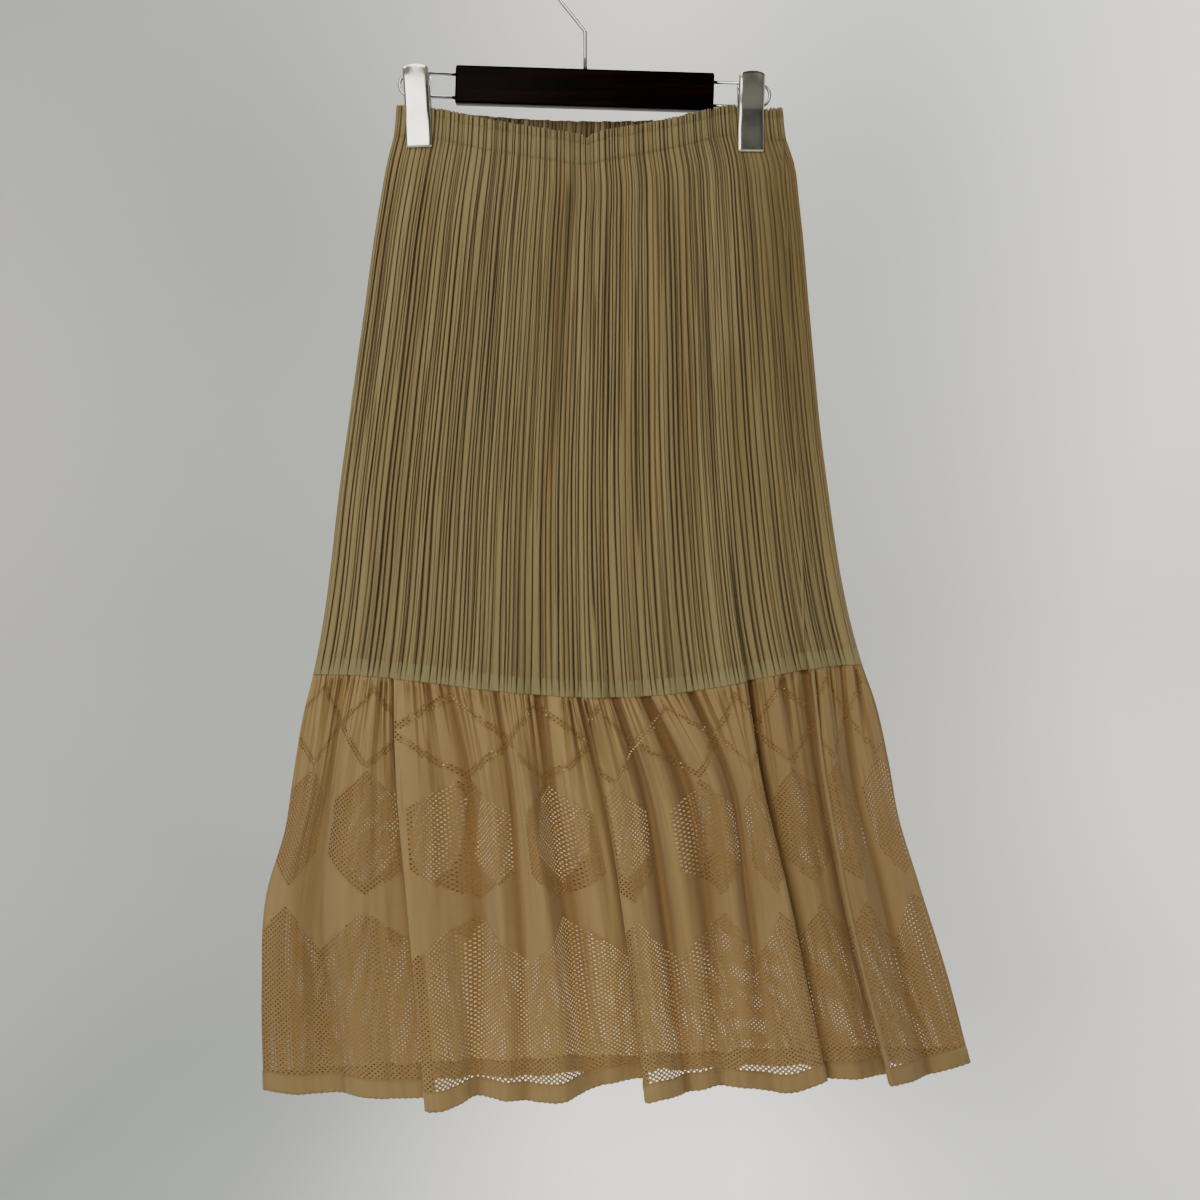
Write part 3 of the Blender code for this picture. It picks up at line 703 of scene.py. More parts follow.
# Each row has its name, x at the four levels, how far out it lies there, and the hem's lift.
FRONT_FOLDS = (
    ("a_ridge", (-0.204, -0.215, -0.234, -0.231), (0.001, 0.004, 0.006, 0.005), 0.000),
    ("a_trough", (-0.188, -0.202, -0.214, -0.196), (-0.003, -0.006, -0.009, -0.004), 0.002),
    ("b_ridge", (-0.172, -0.182, -0.188, -0.169), (0.001, 0.006, 0.009, 0.007), 0.002),
    ("b_trough", (-0.155, -0.155, -0.151, -0.140), (-0.005, -0.009, -0.013, -0.006), 0.000),
    ("c_edge", (-0.150, -0.148, -0.139, -0.124), (0.003, 0.008, 0.011, 0.016), -0.003),
    ("c_ridge", (-0.138, -0.132, -0.126, -0.110), (0.002, 0.009, 0.011, 0.018), -0.003),
    ("c_back", (-0.126, -0.116, -0.110, -0.096), (-0.001, 0.000, 0.002, 0.006), 0.000),
    ("d_trough", (-0.108, -0.092, -0.084, -0.084), (-0.004, -0.008, -0.011, -0.006), 0.003),
    ("d_ridge", (-0.086, -0.074, -0.066, -0.062), (0.002, 0.005, 0.007, 0.006), 0.002),
    ("e_trough", (-0.070, -0.058, -0.051, -0.046), (-0.002, -0.003, -0.002, 0.001), 0.001),
    ("e_ridge", (-0.055, -0.044, -0.030, -0.018), (0.003, 0.008, 0.010, 0.013), 0.002),
    ("f_trough", (-0.038, -0.029, -0.016, 0.004), (-0.006, -0.011, -0.014, -0.008), 0.006),
    ("f_ridge", (-0.018, -0.008, 0.010, 0.022), (0.003, 0.007, 0.004, -0.011), 0.009),
    ("f_deep", (-0.007, 0.007, 0.022, 0.040), (-0.003, -0.004, -0.006, -0.018), 0.009),
    ("g_edge", (-0.001, 0.015, 0.029, 0.047), (0.002, 0.006, 0.007, 0.013), 0.000),
    ("g_ridge", (0.007, 0.025, 0.039, 0.058), (0.004, 0.009, 0.010, 0.017), 0.002),
    ("g_back", (0.015, 0.036, 0.049, 0.071), (0.001, 0.005, 0.006, 0.010), 0.002),
    ("h_trough", (0.023, 0.047, 0.062, 0.080), (-0.006, -0.010, -0.012, -0.002), 0.002),
    ("h_ridge", (0.034, 0.060, 0.077, 0.092), (0.002, 0.004, 0.003, 0.002), 0.004),
    ("i_trough", (0.049, 0.080, 0.096, 0.105), (-0.005, -0.012, -0.010, -0.004), 0.005),
    ("i_ridge", (0.066, 0.101, 0.116, 0.126), (0.003, 0.009, 0.006, 0.002), 0.003),
    ("j_trough", (0.083, 0.114, 0.128, 0.144), (-0.002, 0.000, -0.002, -0.001), -0.001),
    ("j_ridge", (0.104, 0.126, 0.142, 0.161), (0.004, 0.007, 0.008, 0.007), -0.002),
    ("k_edge", (0.126, 0.138, 0.159, 0.188), (0.006, 0.009, 0.011, 0.012), 0.006),
    ("k_trough", (0.132, 0.145, 0.169, 0.198), (-0.006, -0.009, -0.010, -0.006), 0.004),
    ("k_ridge", (0.150, 0.162, 0.182, 0.214), (0.002, 0.004, 0.000, 0.000), 0.001),
    ("l_trough", (0.173, 0.181, 0.195, 0.231), (-0.005, -0.007, -0.009, -0.009), -0.001),
    ("l_edge", (0.178, 0.186, 0.202, 0.239), (0.004, 0.007, 0.010, 0.012), -0.004),
    ("m_ridge", (0.190, 0.199, 0.220, 0.256), (0.003, 0.005, 0.006, 0.008), -0.005),
    ("m_trough", (0.204, 0.212, 0.235, 0.274), (-0.002, -0.004, -0.005, -0.004), -0.005),
    ("n_ridge", (0.215, 0.226, 0.249, 0.290), (0.001, 0.003, 0.003, 0.002), -0.002),
)


@dataclass(frozen=True)
class Tube:
    """The flattened tube that every panel follows, through the sections above."""

    lift_power: float = 2.0
    back_sag_power: float = 0.5
    front_sag_within: float = 0.93
    edge_out: float = 0.00022
    wall_out: float = 0.00075
    edge_width: float = 0.012
    waist_line: tuple[tuple[float, float], ...] = (
        (-0.1520, 0.0), (-0.1220, 0.0022), (-0.0800, 0.0122), (-0.0400, 0.0200),
        (-0.0160, 0.0238), (0.0012, 0.0258), (0.0180, 0.0220), (0.0540, 0.0148),
        (0.0878, 0.0055), (0.1215, -0.0024), (0.1400, 0.0006), (0.1600, 0.0),
    )
    waist_fade: tuple[float, float] = (0.150, 0.230)
    clip_x: float = 0.1335
    clip_flat_half: float = 0.018
    clip_fade: float = 0.020

    @property
    def depths(self) -> Array:
        """How far below the origin each section lies, at its left edge."""
        return np.array([-row[1] for row in SECTIONS])

    def depth_of(self, name: str) -> float:
        """The depth of a named section."""
        return float(self.depths[[row[0] for row in SECTIONS].index(name)])

    def sizes(self, depth: Array) -> dict[str, Array]:
        """The section's sizes at each depth, by column name."""
        read = hermite(self.depths, np.array([row[1:] for row in SECTIONS]), depth)
        return {name: read[..., n] for n, name in enumerate(SECTION_COLUMNS[1:])}

    def across_at(self, x: Array, depth: Array) -> Array:
        """How far across the tube x lies, from -1 to 1."""
        s = self.sizes(depth)
        return (x - s["x_left"]) / (s["x_right"] - s["x_left"]) * 2 - 1

    def surface(self, depth: Array, across: Array, side: Side) -> tuple[Array, Array, Array]:
        """The plain tube, with no pleat or fold.

        Its height is the side edges' height, less a sag that is widest at the middle, and
        it stands out by a rounded curve that is flat at the side edges.

        Args:
            depth: depths below the origin.
            across: places from -1 at the left edge to 1 at the right one.
            side: front or back.

        Returns:
            x, how far out of the middle plane, and z.
        """
        s = self.sizes(depth)
        x = s["x_left"] + (across + 1) / 2 * (s["x_right"] - s["x_left"])
        lift = ((across + 1) / 2) ** self.lift_power
        from_middle = across - s["sag_middle"]
        reach = 1 - np.sign(from_middle) * s["sag_middle"]
        within = self.front_sag_within if side is Side.FRONT else 1.0
        hang = np.clip(1 - (from_middle / reach / within) ** 2, 0, 1)
        power = s["sag_power"] * (self.back_sag_power if side is Side.BACK else 1)
        sag = s["sag_" + side.value] * hang**power
        if side is Side.FRONT:
            line = np.array(self.waist_line)
            own = 1 - smoothstep(*self.waist_fade, depth)
            sag = sag + own * (hermite(line[:, 0], line[:, 1], x) - sag)
        z = s["z_left"] + lift * (s["z_right"] - s["z_left"]) - sag
        inner = np.clip(np.abs(across) / s["parts_within"], 0, 1)
        opened = (1 - inner ** s["roundness"]) ** s["parting"]
        rise = smoothstep(0, self.edge_width, 1 - np.abs(across))
        least = self.edge_out + (self.wall_out - self.edge_out) * rise
        return x, least + s["out_" + side.value] * opened, z

    def pressed(self, x: Array, depth: Array) -> Array:
        """1 where a clip presses the cloth flat, and 0 away from it."""
        near = np.exp(-((np.abs(np.abs(x) - self.clip_x) / self.clip_flat_half) ** 4))
        below = np.clip((depth - self.depth_of("jaw_foot")) / self.clip_fade, 0, 1)
        return near * (1 - below)


@dataclass(frozen=True)
class Folds:
    """The flounce's large folds: ridges and troughs across it, at four depths."""

    tube: Tube
    side: Side
    back_folds: int = 14
    back_out: tuple[float, ...] = (0.003, 0.006, 0.009, 0.010)
    back_wander: float = 0.30
    back_hem_wave: float = -0.001
    tucks: tuple[tuple[str, str], ...] = (
        ("b_trough", "c_edge"), ("f_deep", "g_edge"), ("k_trough", "k_edge"),
        ("l_trough", "l_edge"),
    )
    tuck: tuple[float, ...] = (0.5, 0.05, -0.3, -0.3)

    def tucked(self) -> tuple[FoldRow, ...]:
        """The front's rows, with each trough drawn in under the edge beside it.

        The trough's distance from the edge is multiplied by a share at each depth.
        """
        rows = {row[0]: row for row in FRONT_FOLDS}
        share = np.array(self.tuck)
        for trough, edge in self.tucks:
            low, high = np.array(rows[trough][1]), np.array(rows[edge][1])
            rows[trough] = (trough, tuple(high + (low - high) * share), *rows[trough][2:])
        return tuple(rows.values())

    def table(self) -> tuple[FoldRow, ...]:
        """The side's rows: name, x at four depths, out at four depths, lift of the hem."""
        if self.side is Side.FRONT:
            return self.tucked()
        rows = []
        levels = [self.tube.sizes(np.array(self.tube.depth_of(n))) for n in FOLD_LEVELS]
        places = np.linspace(-1, 1, 2 * self.back_folds + 3)[1:-1]
        pitch = places[1] - places[0]
        for i, place in enumerate(places):
            wander = self.back_wander * pitch * math.sin(2.1 * i + 0.7)
            strength = 0.75 + 0.25 * math.sin(1.7 * i)
            sign = 1 if i % 2 == 0 else -1
            xs = tuple(
                s["x_left"] + (place + wander * n / 3 + 1) / 2 * (s["x_right"] - s["x_left"])
                for n, s in enumerate(levels)
            )
            strength *= sign * (1 - 0.6 * abs(place) ** 6)
            outs = tuple(strength * out for out in self.back_out)
            rows.append((f"back_{i}", xs, outs, sign * self.back_hem_wave))
        return tuple(rows)

    @property
    def count(self) -> int:
        """How many knots a row has, its two side edges among them."""
        return len(self.table()) + 2

    def knot(self, name: str) -> int:
        """The number of a named ridge or trough along a row."""
        return 1 + [row[0] for row in self.table()].index(name)

    def read(self, along: Array, depth: Array) -> tuple[Array, Array, Array]:
        """Reads the folds at scattered places, as a product of two smooth curves.

        Each value is the sum, over the knots and the four depths, of the table's number
        times how much that knot and that depth count at the place.

        Args:
            along: places along a row, in knots from the left side edge.
            depth: depths below the origin, one for each place.

        Returns:
            x, how far out of the plain tube, and the hem's lift.
        """
        rows = self.table()
        levels = [self.tube.depth_of(name) for name in FOLD_LEVELS]
        knots = hermite(np.arange(self.count), np.eye(self.count), along)
        shares = hermite(levels, np.eye(len(levels)), depth)
        inner = knots[:, 1:-1]
        x = (inner * (shares @ np.array([row[1] for row in rows]).T)).sum(1)
        out = (inner * (shares @ np.array([row[2] for row in rows]).T)).sum(1)
        s = self.tube.sizes(depth)
        x = x + knots[:, 0] * s["x_left"] + knots[:, -1] * s["x_right"]
        down = np.clip((depth - levels[0]) / (levels[-1] - levels[0]), 0, 1)
        return x, out, down**2 * (inner @ np.array([row[3] for row in rows]))

    def into_yoke(self, depth: Array, x: Array) -> Array:
        """How far the folds still push out above the seam, where they fade away."""
        top, seam = self.tube.depth_of("hip"), self.tube.depth_of("seam")
        along = np.linspace(0, self.count - 1, 6 * self.count)
        seam_x, seam_out, _ = self.read(along, np.full_like(along, seam))
        fade = np.clip((depth - top) / (seam - top), 0, 1) ** 2
        s, at_seam = self.tube.sizes(depth), self.tube.sizes(np.array(seam))
        across = (x - s["x_left"]) / (s["x_right"] - s["x_left"])
        there = at_seam["x_left"] + across * (at_seam["x_right"] - at_seam["x_left"])
        return fade * np.interp(there, seam_x, seam_out)


@dataclass(frozen=True)
class Drape:
    """Broad soft dents of the pleated cloth, each a bell across that leans on its way down.

    A row holds x at its top and at its foot, the depths of both, its half width, and how
    far it sinks.
    """

    dents: tuple[tuple[float, float, float, float, float, float], ...] = (
        (-0.0095, -0.0270, 0.146, 0.420, 0.0030, 0.0034),
        (-0.0160, -0.0380, 0.150, 0.360, 0.0070, 0.0012),
        (0.0120, 0.0200, 0.150, 0.300, 0.0040, 0.0010),
        (0.0700, 0.0860, 0.160, 0.575, 0.0110, 0.0018),
        (0.1180, 0.1380, 0.300, 0.590, 0.0100, 0.0022),
        (0.1500, 0.1660, 0.150, 0.420, 0.0060, 0.0020),
        (-0.0760, -0.1150, 0.180, 0.520, 0.0100, 0.0013),
        (-0.1180, -0.1600, 0.165, 0.560, 0.0080, 0.0015),
        (-0.0480, -0.0560, 0.330, 0.590, 0.0090, 0.0010),
        (0.0380, 0.0480, 0.300, 0.590, 0.0090, 0.0010),
    )

    def sink(self, x: Array, depth: Array, side: Side) -> Array:
        """How far the dents sink the cloth at each place, as a number below 0."""
        turn = 1.0 if side is Side.FRONT else -1.0
        total = np.zeros(np.broadcast(x, depth).shape)
        for top_x, foot_x, top, foot, half, deep in self.dents:
            t = (depth - top) / (foot - top)
            middle = turn * (top_x + t * (foot_x - top_x))
            shown = smoothstep(-0.04, 0.10, t) * smoothstep(-0.05, 0.35, 1 - t)
            total -= deep * shown * np.exp(-(((x - middle) / half) ** 2))
        return total


@dataclass(frozen=True)
class Pleating:
    """Fine uneven pleats: flat-topped ridges with narrow valleys, some of them split."""

    tube: Tube
    side: Side
    pleats: int = 80
    uneven: float = 0.38
    jitter: float = 0.16
    split_share: float = 0.55
    samples: tuple[float, ...] = (0.0, 0.055, 0.13, 0.27, 0.50, 0.73, 0.87, 0.945)
    press: float = 0.6

    def valleys(self) -> tuple[Array, Array, Array]:
        """The valleys across the panel.

        Returns:
            Their places from -1 to 1, how deep each is, and 1 where it splits a pleat.
        """
        i = np.arange(self.pleats)
        widths = 1 + self.uneven * np.sin(2.399 * i) * np.cos(0.37 * i)
        widths += self.jitter * np.sin(5.1 * i + 1)
        ends = np.concatenate([[0], np.cumsum(widths)])
        ends = ends / ends[-1] * 2 - 1
        seed = self.side.seed(11)
        depth = 0.80 + 0.65 * scatter(self.pleats + 1, seed)
        wide = np.argsort(-widths + 0.25 * scatter(self.pleats, seed + 2))
        split = np.sort(wide[: int(self.split_share * self.pleats)])
        share = 0.36 + 0.28 * scatter(len(split), seed + 4)
        extra = ends[split] + share * (ends[split + 1] - ends[split])
        places = np.concatenate([ends, extra])
        depths = np.concatenate([depth, 0.50 + 0.6 * scatter(len(split), seed + 6)])
        kinds = np.concatenate([np.zeros(len(ends)), np.ones(len(split))])
        order = np.argsort(places)
        return places[order], depths[order], kinds[order]

    def columns(self) -> dict[str, Array]:
        """One row of points across the pleats.

        A ridge is 1 less a power of the distance from its skewed crest, so that its top
        is broad and its sides fall fast.

        Returns:
            across, height from 0 to 1, the number of its ridge, and of its nearest valley.
        """
        places, _, _ = self.valleys()
        count = len(places) - 1
        seed = self.side.seed(21)
        crest = (0.24 + 0.52 * scatter(count, seed))[:, None]
        power = (2.2 + 2.6 * scatter(count, seed + 2))[:, None]
        t = np.array(self.samples)[None, :]
        across = places[:-1, None] + t * np.diff(places)[:, None]
        skewed = np.where(t < crest, t / (2 * crest), 0.5 + (t - crest) / (2 * (1 - crest)))
        height = 1 - np.abs(2 * skewed - 1) ** power
        ridge = np.arange(count)[:, None] + 0 * t
        valley = ridge + (t > 0.5)
        last = {"across": 1.0, "height": 0.0, "ridge": count - 1, "valley": count}
        found = {"across": across, "height": height, "ridge": ridge, "valley": valley}
        return {key: np.append(values.reshape(-1), last[key]) for key, values in found.items()}

    def heights(self, row: dict[str, Array], depth: Array) -> Array:
        """Each point's height between 0 and 1 at each depth, valleys fading in and out."""
        _, depths, kinds = self.valleys()
        number = np.arange(len(depths))
        reach = self.tube.depth_of("seam") - self.tube.depth_of("waist")
        start = self.tube.depth_of("waist") + reach * 0.75 * scatter(len(depths), 31) - 0.12
        stop = start + reach * (0.45 + 0.5 * scatter(len(depths), 33))
        shown = smoothstep(0, 0.04, depth - start) * smoothstep(0, 0.04, stop - depth)
        slow = 1 + 0.25 * waver(3.0, depth * 16 + 0 * number, number * 2.4 + 0 * depth)
        deep = depths * slow * np.where(kinds > 0, shown, 1.0)
        own = deep[:, row["valley"].astype(int)]
        return 1 - (1 - row["height"][None, :]) * own

    def sway(self, row: dict[str, Array], depth: Array) -> Array:
        """How far each ridge wanders sideways on its way down, in metres."""
        number = row["valley"][None, :]
        return 0.00045 * waver(5.0, depth * 26 + 0 * number, number * 0.9 + 0 * depth)


@dataclass
class Stitching:
    """Rows of short stitches that lie on the cloth."""

    finish: bpy.types.Material
    length: float = 0.0021
    gap: float = 0.0007
    radius: float = 0.00022
    sides: int = 4
    steps: int = 5
    bridged: int = 5

    def build(
        self, name: str, path: Array, side: Side, lift: float, slot: Slot
    ) -> bpy.types.Object:
        """Lays stitches along a path, each an arch of thread that dips at its two ends.

        The path is first smoothed over a few points, so that a stitch bridges a pleat.

        Args:
            name: the piece's name.
            path: points of the cloth along the seam, N by 3.
            side: the side that they face.
            lift: how far the thread lies outside those points.
            slot: the record's slot.

        Returns:
            The new object.
        """
        outward = np.array([0.0, side.sign, 0.0])
        bridge = np.ones(self.bridged) / self.bridged
        inner = slice(self.bridged // 2, len(path) - self.bridged // 2)
        path = np.stack([np.convolve(path[:, k], bridge, "same")[inner] for k in range(3)], axis=-1)
        path = path + lift * outward
        steps = np.linalg.norm(np.diff(path, axis=0), axis=1)
        run = np.concatenate([[0], np.cumsum(steps)])
        count = int(run[-1] / (self.length + self.gap))
        begin = (np.arange(count) + 0.15) * (self.length + self.gap)
        t = np.linspace(0, 1, self.steps)
        at = begin[:, None] + t[None, :] * self.length
        centre = np.stack([np.interp(at, run, path[:, k]) for k in range(3)], axis=-1)
        arch = np.sin(np.pi * t)[None, :, None]
        centre = centre + outward * self.radius * (1.5 * arch - 0.6)
        ahead = np.gradient(centre, axis=1)
        ahead /= np.linalg.norm(ahead, axis=2, keepdims=True)
        across = np.cross(ahead, outward)
        across /= np.linalg.norm(across, axis=2, keepdims=True)
        angle = np.arange(self.sides) * 2 * math.pi / self.sides
        thin = (0.35 + 0.65 * np.sqrt(np.clip(np.sin(np.pi * t), 0, 1)))[None, :, None, None]
        ring = np.cos(angle)[None, None, :, None] * across[:, :, None, :]
        ring = ring + np.sin(angle)[None, None, :, None] * outward
        points = centre[:, :, None, :] + self.radius * thin * ring
        one = ClothMesh.grid(self.steps, self.sides, closed=True)
        offset = np.arange(count)[:, None, None] * (self.steps * self.sides)
        faces = (one[None, :, :] + offset).reshape(-1, 4)
        return fitted(ClothMesh.build(name, points, [faces], self.finish), slot)


@dataclass
class Welt:
    """A folded seam that stands up from the cloth: a flat tube along a path."""

    finish: bpy.types.Material
    half_width: float = 0.00125
    height: float = 0.00085
    sides: int = 10

    def build(
        self, name: str, path: Array, slot: Slot, ridge: float | None = None
    ) -> bpy.types.Object:
        """Carries a half-buried ellipse down the path.

        Args:
            name: the piece's name.
            path: points of the cloth along the seam, N by 3.
            slot: the record's slot.
            ridge: how high on a pleat the pleated finish takes it to lie, if it has one.

        Returns:
            The new object.
        """
        angle = np.arange(self.sides) * 2 * math.pi / self.sides
        run = np.linspace(0, 1, len(path))[:, None]
        uneven = 1 + 0.16 * waver(4.0, run * 70)
        x = path[:, :1] + self.half_width * uneven * np.cos(angle)[None, :]
        y = path[:, 1:2] - self.height * uneven * np.sin(angle)[None, :]
        points = np.stack([x, y, path[:, 2:3] + 0 * x], axis=-1)
        uv = np.stack([x, points[..., 2]], axis=-1)
        body = ClothMesh.grid(*x.shape, closed=True, flip=True)
        caps = ClothMesh.caps(*x.shape)
        marks = None if ridge is None else {"ridge": np.full(x.shape, ridge)}
        piece = ClothMesh.build(name, points, [body, *caps], self.finish, uv, marks)
        return fitted(piece, slot)


@dataclass
class Panel:
    """A pleated panel: the yoke or the waistband on one side."""

    tube: Tube
    side: Side
    finish: bpy.types.Material
    thread: bpy.types.Material
    cloth_half: float = 0.30
    dent_shade: float = 120.0

    def points(
        self, depth: Array, pleat: Array, extra: Array
    ) -> tuple[Array, Array, dict[str, Array], dict[str, Array]]:
        """Works out the pleated surface.

        Each point is the plain tube's, moved out by twice the pleat's depth times its
        height, less where a clip presses, and moved out again by the row's own profile.
        The mark "ridge" is the height, from which the finish paints shade on slopes and valleys;
        it is a little lower where a dent sinks the cloth, as painted shade in the dent.

        Args:
            depth: the rows' depths, R by 1.
            pleat: the pleats' depth in each row, R by 1.
            extra: how far each row stands out of the tube, R by 1.

        Returns:
            Points R by C by 3, places on the cloth in metres, the pleats' columns and the marks.
        """
        pleating = Pleating(self.tube, self.side)
        row = pleating.columns()
        x, out, z = self.tube.surface(depth, row["across"][None, :], self.side)
        height = pleating.heights(row, depth)
        pressed = self.tube.pressed(x, depth)
        room = smoothstep(0, 0.02, 1 - np.abs(row["across"]))[None, :]
        rise = 2 * pleat * (1 - pleating.press * pressed) * (height * room + 0.5 * (1 - room))
        sunk = Drape().sink(x, depth, self.side) * room * (1 - pressed)
        folds = Folds(self.tube, self.side).into_yoke(depth, x) + sunk
        y = np.maximum(out + rise + folds + extra * (1 - 0.6 * pressed), self.tube.edge_out)
        x = x + pleating.sway(row, depth) * (1 - pressed) * room
        points = np.stack([x, self.side.sign * y, z], axis=-1)
        run = row["across"][None, :] * self.cloth_half + 0 * x
        uv = np.stack([run, -depth + 0 * x], axis=-1)
        # A random number for each ridge, for random tone, painted shade and a painted glow.
        tint = scatter(int(row["ridge"].max()) + 1, 41 + int(self.side.sign))
        shade = tint[row["ridge"].astype(int)] + 0 * x
        # Painted shade in the dents: the height mark is lowered where they sink the cloth.
        height = np.clip(height * (1 + self.dent_shade * sunk), 0, 1)
        return points, uv, row, {"ridge": height, "tint": shade}


@dataclass
class Yoke(Panel):
    """The long pleated panel from the waistband down to the flounce."""

    rows: int = 52
    top_pleat: float = 0.0007
    seam_pleat: float = 0.0014
    allowance: float = 0.0138
    allowance_out: float = 0.0003
    seam_out: float = 0.0007
    edge_step: float = 0.0004
    sewn: tuple[float, float] = (0.0110, 0.0005)
    allowance_flat: float = 0.25
    sewn_flat: float = 0.80
    seam_x: tuple[float, float] = (0.1578, 0.1745)
    cut: tuple[float, float] = (0.62, 0.455)

    def build(self) -> bpy.types.Object:
        """Builds the panel, with the band of its seam allowance showing at its foot.

        The rows stand close together at the allowance's edge and again at the seam. The
        pleats are flatter over the allowance, and nearly pressed flat where they are sewn.
        """
        top, foot = self.tube.depth_of("band_foot"), self.tube.depth_of("seam")
        edge = foot - self.allowance
        depth = np.concatenate([
            np.linspace(top, edge - self.edge_step, self.rows - 5), [edge, edge + 0.0008],
            [edge + 0.004, foot - 0.006, foot - 0.004, foot - 0.002, foot - 0.0008, foot],
        ])[:, None]
        share = (depth - top) / (foot - top)
        pleat = self.top_pleat + share * (self.seam_pleat - self.top_pleat)
        inside = smoothstep(edge - self.edge_step, edge + self.edge_step, depth)
        sewn = smoothstep(foot - self.sewn[0], foot - self.sewn[1], depth)
        extra = self.allowance_out * inside + self.seam_out * sewn
        flatter = (1 - self.allowance_flat * inside) * (1 - self.sewn_flat * sewn)
        points, uv, _, marks = self.points(depth, pleat * flatter, extra)
        marks["allowance"] = inside + 0 * points[..., 0]
        # Painted shade: valleys lighten where sewn flat, and the last row paints a dark line at the
        # seam.
        marks["ridge"] = 1 - (1 - marks["ridge"]) * (1 - 0.2 * sewn)
        marks["ridge"][-1] *= 0.25
        faces = ClothMesh.grid(*points.shape[:2], self.side is Side.BACK)
        name = f"yoke_{self.side.value}_cloth"
        piece = ClothMesh.build(name, points, [faces], self.finish, uv, marks)
        fitted(piece, Slot.PLEATED, f"yoke_{self.side.value}")
        trimmings = self.side_seam() if self.side is Side.FRONT else []
        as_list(trimmings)
        return piece

    def side_seam(self) -> list[bpy.types.Object]:
        """The side seam, which has turned to the front at the right."""
        top, foot = self.tube.depth_of("band_foot"), self.tube.depth_of("seam")
        depth = np.linspace(top, foot, 90)
        share = (depth - top) / (foot - top)
        x = self.seam_x[0] + share * (self.seam_x[1] - self.seam_x[0])
        x = x + 0.0007 * waver(2.0, share * 30)
        _, out, z = self.tube.surface(depth, self.tube.across_at(x, depth), Side.FRONT)
        pleat = self.top_pleat + share * (self.seam_pleat - self.top_pleat)
        out = out + 1.7 * pleat + Folds(self.tube, Side.FRONT).into_yoke(depth, x)
        out = out + Drape().sink(x, depth, Side.FRONT) * 0.6
        path = np.stack([x, -out, z], axis=-1)
        return [Welt(self.finish).build("yoke_side_seam", path, Slot.PLEATED, ridge=0.9)]


@dataclass
class Waistband(Panel):
    """The elastic casing, with a gathered header above its upper row of stitches."""

    header: float = 0.0072
    casing_foot: float = 0.0246
    wall: float = 0.0008
    pleat: float = 0.0006
    profile: tuple[tuple[float, float, float], ...] = (
        (0.0000, 0.0000, 1.50), (0.0008, 0.0003, 2.00), (0.0030, 0.0005, 2.20),
        (0.0054, 0.0004, 1.90), (0.0068, 0.0002, 1.50), (0.0072, 0.0001, 1.40),
        (0.0077, 0.0003, 1.40), (0.0095, 0.0007, 1.40), (0.0125, 0.0012, 1.30),
        (0.0160, 0.0013, 1.35), (0.0195, 0.0009, 1.45), (0.0225, 0.0002, 1.50),
        (0.0240, -0.0006, 1.40), (0.0246, -0.0009, 1.30), (0.0251, -0.0004, 1.60),
    )
    jag: float = 0.0007
    jag_reach: float = 0.0025
    groove_shade: float = 0.20
    groove_half: float = 0.0016
    band_shade: float = 0.30
    notch: float = 0.0030
    notch_x: float = 0.0012
    notch_half: float = 0.0032
    bunch_x: float = 0.1430
    bunch_fade: float = 0.006
    bunch_out: float = 0.0011
    bunch_up: float = 0.0016
    stitch_lift: float = 0.0003
    stitch_rows: tuple[tuple[str, int], ...] = (("upper", 5), ("lower", 13))
    cut: tuple[float, float] = (0.36, 0.030)

    def build(self) -> bpy.types.Object:
        """Builds the casing from its profile: depth, how far out, and how strong the pleats.

        The header's top edge is ragged, the front's dips in a notch at the middle, and the
        header bunches up beside the right clip.
        """
        top, foot = self.tube.depth_of("waist"), self.tube.depth_of("band_foot")
        profile = np.array(self.profile)
        depth = top + profile[:, :1] * (foot - top) / profile[-1, 0]
        pleat = self.pleat * profile[:, 2:3]
        points, uv, row, marks = self.points(depth, pleat, profile[:, 1:2])
        high = np.exp(-((profile[:, :1] / self.jag_reach) ** 2))
        ragged = marks["ridge"] - 0.5 + 0.6 * waver(7.0, row["across"][None, :] * 60)
        points[..., 2] += self.jag * high * ragged
        place = points[..., 0]
        in_front = self.side is Side.FRONT
        notch = self.notch * np.exp(-(((place - self.notch_x) / self.notch_half) ** 2))
        points[..., 2] -= in_front * notch * (1 - profile[:, :1] / profile[-1, 0]) ** 2
        bunch = smoothstep(self.bunch_x, self.bunch_x + self.bunch_fade, place)
        bunch = bunch * (marks["ridge"] - 0.45)
        points[..., 1] += in_front * self.side.sign * self.bunch_out * bunch
        points[..., 2] += self.bunch_up * bunch * high
        marks["allowance"] = self.band_shade * (profile[:, :1] > self.header) + 0 * place
        # Painted shade along the casing's foot: the height mark is lowered there.
        groove_shade = np.exp(-(((profile[:, :1] - self.casing_foot) / self.groove_half) ** 2))
        marks["ridge"] = marks["ridge"] * (1 - self.groove_shade * groove_shade)
        faces = ClothMesh.grid(*points.shape[:2], self.side is Side.BACK)
        band = f"waistband_{self.side.value}"
        piece = ClothMesh.build(f"{band}_cloth", points, [faces], self.finish, uv, marks)
        ClothMesh.thicken(piece, self.wall, inward=True)
        fitted(piece, Slot.PLEATED, band)
        sewing = Stitching(self.thread)
        stitches = [
            sewing.build(
                f"{band}_stitches_{name}", points[number], self.side, self.stitch_lift, Slot.PLEATED
            )
            for name, number in self.stitch_rows
        ]
        return piece


